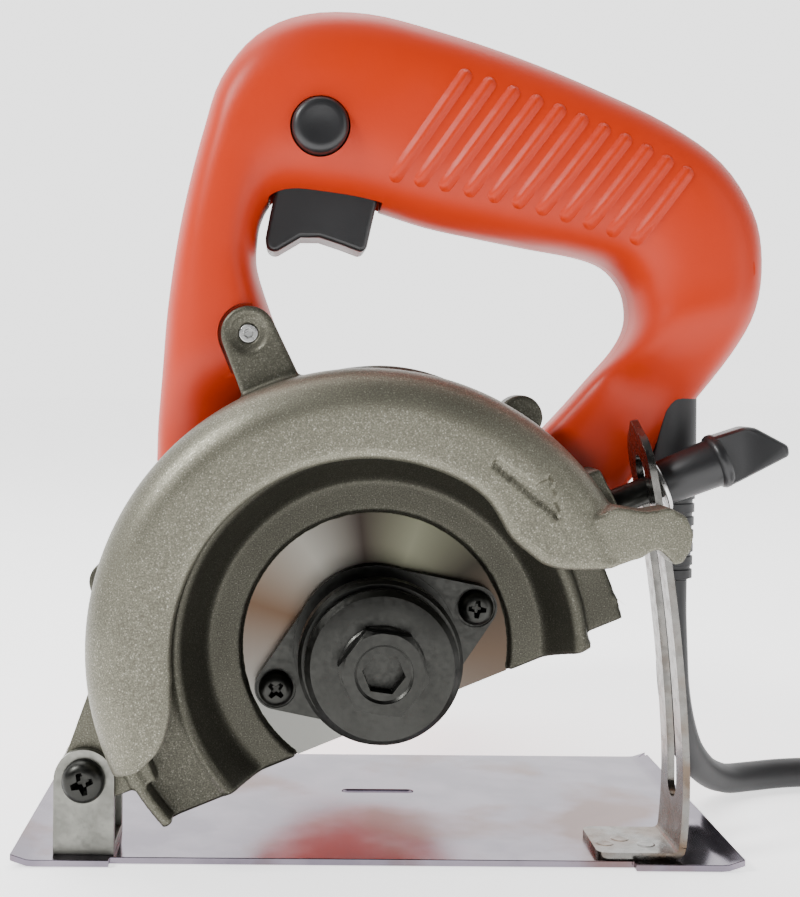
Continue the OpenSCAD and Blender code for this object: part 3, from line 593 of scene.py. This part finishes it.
def guide():
    """The slotted strip: its line in X and Z about the pivot, with its width along Y."""
    line = [(STRIP_R * math.cos(a), STRIP_R * math.sin(a), a) for a in
            [math.radians(-6 + 9 * i / 9) for i in range(10)]]
    bx = (STRIP_R - STRIP_TOP_R) * math.cos(STRIP_BEND)
    bz = (STRIP_R - STRIP_TOP_R) * math.sin(STRIP_BEND)
    for i in range(1, 41):
        a = STRIP_BEND + math.radians(9.6) * i / 40
        line.append((bx + STRIP_TOP_R * math.cos(a), bz + STRIP_TOP_R * math.sin(a), a))
    rings = []
    for x, z, a in line:
        over = min(max((z - STRIP_ROUND_Z) / STRIP_HALF, 0), 0.999)
        w = STRIP_HALF * math.sqrt(1 - over * over)
        nx, nz = math.cos(a) * STRIP_T, math.sin(a) * STRIP_T
        rings.append([(x, STRIP_Y - w, z), (x + nx, STRIP_Y - w, z + nz), (x + nx, STRIP_Y + w, z + nz),
                      (x, STRIP_Y + w, z)])
        if z > STRIP_ROUND_Z + 8.95:
            break
    # from the upright down and round to the foot, which goes to the left
    x0 = rings[0][0][0]
    ox, oz = x0 - FOOT_BEND_R, FOOT_Z + FOOT_BEND_R
    painted_hood_light_bowl_shade, outside = FOOT_BEND_R, FOOT_BEND_R + STRIP_T
    near, far = STRIP_Y - STRIP_HALF, STRIP_Y + STRIP_HALF
    bend = []
    for a in (0, 30, 60, 90):
        c, d = math.cos(math.radians(a)), math.sin(math.radians(a))
        bend.append([(ox + r * c, y, oz - r * d)
                     for r, y in ((painted_hood_light_bowl_shade, near), (outside, near), (outside, far), (painted_hood_light_bowl_shade, far))])
    foot = [[(x, STRIP_Y - w, FOOT_Z), (x, STRIP_Y - w, FOOT_Z - STRIP_T), (x, STRIP_Y + w, FOOT_Z - STRIP_T),
             (x, STRIP_Y + w, FOOT_Z)]
            for x, w in ((x0 - 3, 9), (x0 - 15.6, 9), (x0 - 16.6, 8.7), (x0 - 17.4, 8), (x0 - 17.8, 7))]
    strip = loft(list(reversed(rings)) + bend + foot)
    hole = prism(arc(STRIP_Y, -1.5, 3.5, 3.5, 180, 360, 10) + arc(STRIP_Y, 68.5, 3.5, 3.5, 0, 180, 10),
                 -150, -100)
    hole.data.transform(Matrix.Rotation(math.pi / 2, 4, "Z"))
    return cut(strip, hole)


done(guide(), "guide_strip", PIVOT, "base", ["depth_guide"], "guide_steel", bevel=0.12, sharp=30)
spots = []
for x, y in ((51.5, -33.5), (55.5, -30.5), (60.5, -34.2)):
    spot = spun([(0, -0.05), (0, 0.03), (1.2, 0.05), (1.7, 0.1), (2.0, 0.02), (2.1, -0.05)], steps=24)
    spot.data.transform(Matrix.Translation((x, y, 3.0)) @ Matrix.Rotation(math.pi / 2, 4, "X"))
    spots.append(spot)
done(together("spots", spots), "weld_spots", ROW, "base", [], "guide_steel")


# ---- handle -----------------------------------------------------------------------------------
STATIONS = [
    (-31.5, 58.5, -1, 64.5, 16, 42), (-27.8, 66.8, 4.5, 66.4, 14.6, 42.6),
    (-22.1, 77.9, 6.2, 71.5, 10.6, 43.4), (-15.8, 90.4, 6.3, 80, 10, 44), (-7.8, 104.1, 7.2, 91.5, 10, 44),
    (-0.2, 115.5, 9.8, 98, 10, 44), (7.8, 126.2, 12.6, 102.2, 10, 44), (16, 135.8, 16.5, 105, 10, 44),
    (27.4, 142.1, 21.5, 104.4, 10, 44), (39.7, 142.4, 28, 100.9, 10, 44), (53.5, 137, 37, 95.2, 10, 44),
    (67.4, 126.9, 48, 86.2, 10, 44), (82.1, 114.4, 58.7, 78.9, 10, 44), (95.8, 101, 68.9, 72.2, 10, 44),
    (108.4, 87.1, 78.2, 66.3, 10, 44), (116.5, 74.1, 83.8, 61.3, 10, 44), (119, 60.7, 85.9, 55.5, 10, 44),
    (116.7, 49.6, 85.3, 50.2, 10, 44), (110.9, 39.3, 83.1, 45.8, 10, 44),
    (102.2, 31.5, 78.6, 42.1, 13.5, 44), (90.1, 23.7, 71.3, 38.4, 20.8, 44),
    (75.9, 15.6, 61.5, 33.6, 22, 43), (64, 9.2, 52.4, 29.6, 22, 42)]
SHELL_T, SHELL_MID, RING = 2.6, 27, 22
TRIGGER_O, TRIGGER_A = (28.2, 100.6), math.radians(28.9)
BUTTON = (32.4, 115.1)
LUG_Z = 77.8
POSTS = [(-5.5, 90), (8, 113), (62, 112), (98, 84), (108, 50)]


def signed_power(v, p):
    return math.copysign(abs(v) ** p, v)


def half_section(s, inset, side):
    mid = ((s[0] + s[2]) / 2, (s[1] + s[3]) / 2)
    length = math.hypot(s[0] - s[2], s[1] - s[3])
    dx, dz = (s[0] - s[2]) / length, (s[1] - s[3]) / length
    half = length / 2 - inset
    depth = (SHELL_MID - s[4] if side < 0 else s[5] - SHELL_MID) - inset - 0.05
    out = []
    for k in range(RING + 1):
        a = math.pi * k / RING
        w = half * signed_power(math.cos(a), 2 / 2.9)
        d = 0.05 + depth * signed_power(max(math.sin(a), 0), 2 / 2.9)
        out.append((mid[0] + dx * w, SHELL_MID + side * d, mid[1] + dz * w))
    return out


def shell(side):
    rings = [half_section(s, 0, side) + list(reversed(half_section(s, SHELL_T, side)))
             for s in smooth_curve(STATIONS, 4)]
    n, m = len(rings), len(rings[0])
    verts = [p for ring in rings for p in ring]
    faces = [[i * m + k, i * m + (k + 1) % m, (i + 1) * m + (k + 1) % m, (i + 1) * m + k]
             for i in range(n - 1) for k in range(m)]
    for end in (0, (n - 1) * m):
        faces += [[end + k, end + k + 1, end + m - 2 - k, end + m - 1 - k] for k in range(RING)]
    return solid("shell", verts, faces)


def in_trigger(u, w):
    c, s = math.cos(TRIGGER_A), math.sin(TRIGGER_A)
    return (TRIGGER_O[0] + u * c + w * s, TRIGGER_O[1] - u * s + w * c)


def rounded(outline, r=1.2, n=4):
    """An outline with its corners cut by arcs."""
    out = []
    for i, p in enumerate(outline):
        a, b = Vector(outline[i - 1]), Vector(outline[(i + 1) % len(outline)])
        p = Vector(p)
        u, v = (a - p), (b - p)
        k = min(r, u.length * 0.45, v.length * 0.45)
        s, e = p + u.normalized() * k, p + v.normalized() * k
        for j in range(n + 1):
            t = j / n
            out.append(tuple((1 - t) ** 2 * s + 2 * t * (1 - t) * p + t * t * e))
    return out


def trigger_slot():
    return prism(rounded([in_trigger(u, w) for u, w in ((-13.2, -9), (13, -9), (13, 9), (-13.2, 9))], 1.5),
                 SHELL_MID - 8.6, SHELL_MID + 8.6)


def vertical_bore(r, z0, z1, x, y):
    """A round cutter that stands upright in the row frame, given in the saw's frame."""
    hole = rod(r, z0, z1, steps=40)
    hole.data.transform(SAW.inverted() @ ROW @ Matrix.Translation((x, y, 0))
                        @ Matrix.Rotation(math.pi / 2, 4, "X"))
    return hole


left = shell(-1)
lug_pocket = prism(arc(0, LUG_Z, 7, 7, 0, 180, 20) + [(-7, 55), (7, 55)], -5, 12.3)
cut(left, trigger_slot(), rod(6.8, 0, SHELL_MID, BUTTON), lug_pocket, rod(2.15, 10, 20, (0, LUG_Z), 24),
    vertical_bore(5.75, 49.8, 130, 70.6, -16))
surface = BVHTree.FromObject(left, bpy.context.evaluated_depsgraph_get())


def surface_y(x, z):
    hit = surface.ray_cast(Vector((x, -40, z)), Vector((0, 1, 0)))
    return hit[0].y if hit[0] else None


def through(a, b, c, t):
    """A quadratic through three points, at t from 0 to 1."""
    return tuple(p * (2 * t - 1) * (t - 1) - q * 4 * t * (t - 1) + r * t * (2 * t - 1)
                 for p, q, r in zip(a, b, c))


def rib(t):
    top = through((68.3, 114.4), (88.9, 95.2), (106.3, 75.3), t)
    low = through((42.9, 97.7), (66.3, 81.8), (88.0, 64.3), t)
    along = Vector((low[0] - top[0], low[1] - top[1]))
    length = along.length
    along.normalize()
    side = Vector((-along.y, along.x))
    rings, steps = [], 44
    for i in range(steps + 1):
        s = length * i / steps
        end = min(s, length - s)
        k = math.sqrt(max(1 - (1 - min(end / 1.7, 1)) ** 2, 0))
        ring = []
        for j in range(9):
            u = -1 + j / 4
            w = 1.75 * u * (0.35 + 0.65 * k)
            p = Vector(top) + along * s + side * w
            h = 1.0 * k * max(0.5 + 0.5 * math.cos(math.pi * u), 0) ** 0.8
            ring.append((p.x, surface_y(p.x, p.y) - h + 0.04, p.y))
        back = [(x, y + 0.9, z) for x, y, z in (ring[8], ring[0])]
        rings.append(ring + back)
    return loft(rings)


ribs = together("ribs", [rib(k / 10) for k in range(11)])
posts_left = [spun([(1.75, 12.2), (4, 12.2), (4, 26.9), (1.75, 26.9)], steps=20, c=p) for p in POSTS]
done(left, "handle_shell_front", SAW, "saw", ["handle_left"], "orange_plastic", bevel=0.5, sharp=40)
done(ribs, "grip_ribs", SAW, "saw", [], "orange_plastic", sharp=60)
done(together("posts", posts_left), "handle_posts", SAW, "saw", [], "orange_plastic")

right = shell(1)
cut(right, trigger_slot(), vertical_bore(5.75, 49.8, 130, 70.6, -16),
    *[rod(3.9, 41.6, 50, p, 28) for p in POSTS])
cups = [spun([(1.9, 38.8), (4.9, 38.8), (4.9, 43.2), (3.9, 43.2), (3.9, 41.7), (1.9, 41.7)], steps=28, c=p)
        for p in POSTS]
done(right, "handle_shell_rear", SAW, "saw", ["handle_right"], "orange_plastic", bevel=0.5, sharp=40)
done(together("cups", cups), "handle_screw_cups", SAW, "saw", [], "orange_plastic")


def rear_screws(places, head_y, head_r, head_h, shank_r, shank_y):
    out = []
    for i, p in enumerate(places):
        s = cross_screw(head_r, head_h, 0, turn=20 + 31 * i, shank=(shank_r, head_h + shank_y))
        s.data.transform(Matrix.Translation((p[0], head_y, p[1])) @ Matrix.Rotation(math.pi, 4, "Z"))
        out.append(s)
    return together("rear_screws", out)


done(rear_screws(POSTS, 44.1, 3.6, 2.4, 1.7, 22), "handle_screws_visual", SAW, "saw", ["handle_screws"],
     "bright_steel")

trigger_line = ([(-11.6, 4.6), (-11.9, 0), (-12.4, -4.9), (-12.8, -10.9)] + arc(-10.6, -11.9, 2, 2, 190, 300, 6)
                + [(-4.7, -9.9), (-0.4, -9.4), (5, -10.5)] + arc(9.2, -9.9, 1.6, 1.6, 260, 350, 5)
                + [(11.8, 0), (11.6, 4.6)])
done(prism([in_trigger(u, w) for u, w in trigger_line], 19, 35), "trigger_visual", SAW, "trigger", ["trigger"],
     "black_plastic", bevel=1.1, segments=4, sharp=30)
button = spun([(0, 8.1), (2.4, 7.95), (4, 7.66), (4.7, 7.6), (5.5, 7.8), (6.1, 8.3), (6.4, 9.2), (6.4, 14.5),
               (3, 14.5), (3, 15.5), (0, 15.5)], steps=64, c=BUTTON)
done(button, "lock_button_visual", SAW, "lock_button", ["lock_button"], "black_plastic", sharp=50)


# ---- guard casting ------------------------------------------------------------------------------
GUARD_C = (-1.5, 4.5)
GUARD_R, GUARD_T = 60.8, 2.5


def lip_radius(t):
    r = 41.6 - 2.8 * math.exp(-((t - 18) / 10) ** 2)
    if t < 10:
        r += 10 * ((10 - t) / 11) ** 3
    if t > 165:
        r = 42 + 11 * (1 - math.sqrt(max(1 - ((t - 165) / 19) ** 2, 0)))
    return r


def hood_section(t):
    edge = lip_radius(t) + 2
    points = [(GUARD_R, 13.6)] + arc(GUARD_R - 8.8, -3, 8.8, 9, 0, -90, 12)
    points = [(max(r, edge), y) for r, y in points]
    points += arc(edge, -10, 2, 2, -90, -270, 8)
    points += [(max(r, edge), y) for r, y in arc(52.3, -4, 6, 4, -90, 0, 8)] + [(GUARD_R - GUARD_T, 13.6)]
    return points


def hood():
    rings = []
    for i in range(95):
        t = -1.6 + (184.2 + 1.6) * i / 94
        a = math.radians(t)
        rings.append([(GUARD_C[0] + r * math.cos(a), y, GUARD_C[1] + r * math.sin(a))
                      for r, y in hood_section(t)])
    return loft(rings)


SPUR = [(50, 13.5), (52, 14), (58.5, 14.5), (63.8, 11.3), (68.4, 10.4), (71, 7.4), (71.2, 3.4), (69.4, 0.4),
        (66.6, -1.6), (65, -1.4), (64.2, 1), (63, 3.2), (59.3, 2.7), (52, 3)]


ARROW = [(37.1, 33.0), (45.5, 17.4), (46.3, 16.7), (47.9, 25.7), (44.2, 25.0), (38.6, 33.3)]
ARROW_DEPTH = 1.0


def is_inside(x, z, outline):
    """Whether a point lies inside a closed outline."""
    crossings = 0
    for (x1, z1), (x2, z2) in zip(outline, outline[-1:] + outline[:-1]):
        if (z1 > z) != (z2 > z) and x < (x2 - x1) * (z - z1) / (z2 - z1) + x1:
            crossings += 1
    return crossings % 2 == 1


def guard():
    body = hood()
    wall = spun([(58.15, 5), (60.65, 5), (60.65, 13.8), (58.15, 13.8)], -14, 201, 120, GUARD_C)
    floor = rod(59.8, 11, 14, GUARD_C, 128)
    cut(floor, rod(45.8, 0, 30, steps=96), block(45.4, 90, 0, 13.9, -40, 13.2))
    wing = prism([(43, 16), (57.4, 16), (57.9, 11), (56.1, 3), (55, -8), (54.7, -13.5), (45.5, -13.5),
                  (45, -17.5), (42, -17.5)], 13.9, 17)
    pan = spun([(8, 25), (8, 21), (43, 12), (45.9, 10.1), (47.2, 10.9), (47.6, 12), (47.6, 25)], steps=128)
    bowl = spun([(0, 5), (45.4, 5), (45.5, 10.3), (44.4, 11), (43.4, 13), (40.4, 17.8), (39.2, 19.4),
                 (38.2, 20), (31.3, 20), (31.3, 22.1), (0, 22.1)], steps=128)
    flange = spun([(35.5, 12), (39, 12), (39, 25), (35.5, 25)], steps=96, c=(10, 24))
    boss = spun([(14, 24), (16.8, 24), (16.8, 33.5), (14, 33.5)], steps=64)
    lug = prism(arc(0, LUG_Z, 6.2, 6.2, 0, 180, 24) + [(-6.8, 58), (7.4, 58)], 8, 12)
    hook = prism(SPUR, -11.6, -3.6)
    arm = prism(arc(-70.2, 0, 6.6, 6.6, 110, 270, 16) + [(-56, -6.6), (-56, 22), (-61, 19)], 5.7, 17.3)
    column = prism(rounded([(50, 1.5), (62.78, 1.5), (61.2, 20.8), (50, 20.8)], 1.0), 6.4, 17.6)
    ears = [rod(5, 12, 19, (x, 37.3), 32) for x in (-50, 50)]
    bosses = [rod(5, 20, 25, p, 32) for p in ((-33, 24), (43, -4.6), (28, 50))]
    join(body, wall, floor, wing, pan, flange, boss, lug, hook, arm, column, *ears, *bosses)
    cut(body, bowl, block(-90, 90, -30, 60, -90, -17), rod(11, 0, 40, steps=64), rod(14, 0, 31.5, steps=64),
        block(55.2, 90, 4, 30, -40, 1.2), rod(2.2, 0, 20, (0, LUG_Z), 24), rod(4.3, 7, 8.7, (0, LUG_Z), 32),
        rod(3.05, 0, 30, (-70.2, 0), 32))
    remesh(body, 0.55, 3)
    for v in body.data.vertices:
        if v.co.y < -6 and is_inside(v.co.x, v.co.z, ARROW):
            v.co.y += ARROW_DEPTH
    return body


done(guard(), "guard_casting", SAW, "saw", ["blade_guard"], "cast_alloy", sharp=60)
face = cut(spun([(13.9, 22.3), (13.9, 21.95), (31.1, 21.95), (31.25, 22.3)], steps=128),
           block(-40, 40, 20, 24, -40, -17))
done(face, "guard_machined_face", SAW, "saw", [], "cast_alloy", "machined_face")
lug_screw = cut(rod(2.1, 8.9, 15.5, (0, LUG_Z), 32), rod(1.1, 8, 10.4, (0, LUG_Z), 6))
done(lug_screw, "lug_screw_visual", SAW, "saw", ["lug_screw"], "bright_steel", bevel=0.2)


# ---- retainer, flanges and bolt ---------------------------------------------------------------
def tangent_outline(r, ends, er):
    """A disc with two round ears: the outline of two tangent pairs."""
    a = math.acos((r - er) / ends)
    out = []
    for turn in (0, math.pi):
        for i in range(13):
            t = turn - a + 2 * a * i / 12
            out.append((ends * math.cos(turn) + er * math.cos(t), er * math.sin(t)))
        for i in range(1, 20):
            t = turn + a + (math.pi - 2 * a) * i / 20
            out.append((r * math.cos(t), r * math.sin(t)))
    return out


retainer = prism(tangent_outline(18.8, 24.8, 5), 18.2, 21.9)
join(retainer, rod(19, 17.8, 20, steps=96))
cut(retainer, rod(13.2, 0, 30, steps=64), rod(4.6, 16, 18.7, (24.8, 0), 32), rod(4.6, 16, 18.7, (-24.8, 0), 32))
done(retainer, "retainer", SAW, "saw", ["bearing_retainer"], "black_steel", bevel=0.5)
heads = [cross_screw(4, 2.6, 15.2, c=(x, 0), turn=t, shank=(2, 24)) for x, t in ((-24.8, 25), (24.8, 62))]
done(together("heads", heads), "retainer_screw_heads", SAW, "saw", ["retainer_screws"], "black_steel")

inner_flange = spun([(6.02, -1.2), (9.6, -1.2), (10, -0.8), (10, 1), (17.3, 1), (18.1, 1.8), (18.1, 6.4),
                     (17.1, 7.2), (12.4, 7.2), (12.4, 19.5), (6.02, 19.5)], steps=96)
done(inner_flange, "flange_inner", SAW, "spindle", ["inner_flange"], "bright_steel", "black_steel")
outer_flange = spun([(4.1, -1.25), (16.4, -1.25), (16.7, -1.55), (16.7, -3.5), (15.5, -4.9), (13.8, -5.15),
                     (11, -5.3), (4.1, -5.3)], steps=96)
done(outer_flange, "flange_outer", SAW, "spindle", ["outer_flange"], "black_steel", sharp=20)


def clamp_bolt():
    def hexagon(flats, y0, y1, turn=0.0):
        r = flats / 2 / math.cos(math.pi / 6)
        return prism([(r * math.cos(math.radians(turn + 60 * i)), r * math.sin(math.radians(turn + 60 * i)))
                      for i in range(6)], y0, y1)
    head = hexagon(17, -10.6, -6.0, 30)
    dome = spun([(0, -5.9), (10, -5.9), (10, -9.75), (8.6, -10.6), (0, -10.6)], steps=64)
    combine(head, [dome], "INTERSECT")
    washer = spun([(0, -6.1), (9.0, -6.1), (9.4, -5.8), (9.4, -5.32), (0, -5.32)], steps=64)
    join(head, washer, rod(4, -6, 14, steps=32))
    cut(head, spun([(0, -12), (6.5, -12), (6.2, -10.3), (5.7, -9.9), (0, -9.9)], steps=48),
        hexagon(8, -12, -6.2, 30))
    return head


done(clamp_bolt(), "clamp_bolt_visual", SAW, "spindle", ["clamp_bolt"], "black_steel", bevel=0.3, sharp=28)


# ---- depth clamp --------------------------------------------------------------------------------
STUD = SAW @ Matrix.Translation((0, 12, 11.5)) @ Matrix.Rotation(-math.pi / 2, 4, "Z")
# in this frame +Y runs along the stud and X goes across it
stud = spun([(0, 48), (2.98, 48), (2.98, 89.5), (2.5, 90), (0, 90)], steps=32)
done(stud, "stud", STUD, "saw", ["depth_stud"], "black_steel")
washer = spun([(3.1, 72.5), (6.2, 72.5), (6.4, 72.7), (6.4, 73.3), (6.2, 73.5), (3.1, 73.5)], steps=48)
done(washer, "washer", STUD, "depth_washer", ["depth_washer"], "bright_steel")
stem = spun([(3.04, 73.6), (4.8, 73.6), (5.0, 73.9), (5.5, 86.2), (6.0, 86.5), (6.3, 87.1), (6.3, 88),
             (5.9, 88.7), (3.04, 88.8)], steps=48)
# the wing's outline along the stud and across it, seen from the front
wing_line = rounded([(86.8, -5.9), (89.8, -5.7), (102.3, -4.5), (102.9, -2.3), (97.4, 4.3), (95.4, 5.3),
                     (86.8, 5.9)], 0.8, 3)
wing = loft([[(y, s, z) for s, z in ((88.2 + (s - 88.2) * k, z * k) for s, z in wing_line)]
             for y, k in ((-3.5, 0.9), (-3.0, 0.97), (-2.3, 1), (2.3, 1), (3.0, 0.97), (3.5, 0.9))])
join(stem, wing)
cut(stem, rod(3.04, 60, 93.5, steps=32))
done(stem, "knob", STUD, "depth_knob", ["depth_knob"], "black_plastic", bevel=0.35, segments=3)

# ---- strain relief ------------------------------------------------------------------------------
relief = []
for i in range(7):
    z, r = 60.2 + 3.1 * i, 4.8 + 0.1 * i
    relief += [(r - 0.45, z), (r, z + 0.15), (r, z + 2.1), (r - 0.45, z + 2.25)]
profile = [(3.75, 59.95)] + relief + [(5.5, 82.5), (5.6, 84), (5.6, 103), (3.75, 103)]
sleeve = spun(profile, steps=40)
sleeve.data.transform(Matrix.Translation((70.6, -16, 0)) @ Matrix(((1, 0, 0, 0), (0, 0, -1, 0), (0, 1, 0, 0),
                                                                   (0, 0, 0, 1))))
done(sleeve, "relief_sleeve", ROW, "saw", ["strain_relief"], "cord_rubber", sharp=30)

# ---- what keeps its CAD shape -----------------------------------------------------------------
slots = {s["node"]: s["material_slot"] for s in frame["record"]["subparts"]}
for node_name, obj in frame["nodes"].items():
    obj.data.materials.clear()
    obj.data.materials.append(MATS[slots[node_name]])
    obj.data.shade_smooth()
    obj.data.set_sharp_from_angle(angle=math.radians(30))

# ---- floor, light and world -----------------------------------------------------------------------
floor_mesh = bpy.data.meshes.new("floor")
floor_mesh.from_pydata([(-4, -3, 0), (4, -3, 0), (4, 5, 0), (-4, 5, 0)], [], [(0, 1, 2, 3)])
floor = bpy.data.objects.new("floor", floor_mesh)
scene.collection.objects.link(floor)
floor.location.z = -0.0002
floor_look = new_material("floor", (0.93, 0.93, 0.93), 0.8, spec=0.1)
floor_shader = floor_look.node_tree.nodes["Principled BSDF"]
floor_shader.inputs["Emission Color"].default_value = (1, 1, 1, 1)
floor_shader.inputs["Emission Strength"].default_value = 1.5
floor_mesh.materials.append(floor_look)


def area_light(name, place, target, size, power, colour=(1, 1, 1)):
    data = bpy.data.lights.new(name, "AREA")
    data.shape = "RECTANGLE"
    data.size, data.size_y = size
    data.energy = power
    data.color = colour
    light = bpy.data.objects.new(name, data)
    scene.collection.objects.link(light)
    light.location = place
    light.rotation_euler = (Vector(target) - Vector(place)).to_track_quat("-Z", "Y").to_euler()


area_light("key", (-0.75, -0.45, 0.75), (-0.02, 0, 0.08), (0.26, 0.26), 12)
area_light("top", (-0.1, 0.25, 0.9), (0, 0, 0.05), (0.8, 0.5), 5)
area_light("side", (0.7, -0.5, 0.3), (0, 0, 0.08), (0.3, 0.5), 1.2)
world = bpy.data.worlds.new("world")
scene.world = world
world.use_nodes = True
wn, wl = world.node_tree.nodes, world.node_tree.links
around = wn.new("ShaderNodeTexCoord")
axes = wn.new("ShaderNodeSeparateXYZ")
wl.new(around.outputs["Generated"], axes.inputs[0])
behind = wn.new("ShaderNodeMapRange")
behind.interpolation_type = "SMOOTHSTEP"
behind.inputs["From Min"].default_value = -0.3
behind.inputs["From Max"].default_value = 0.75
behind.inputs["To Min"].default_value = 0.07
behind.inputs["To Max"].default_value = 2.5
wl.new(axes.outputs["Y"], behind.inputs["Value"])
wl.new(behind.outputs[0], wn["Background"].inputs["Strength"])
wn["Background"].inputs["Color"].default_value = (1, 1, 1, 1)
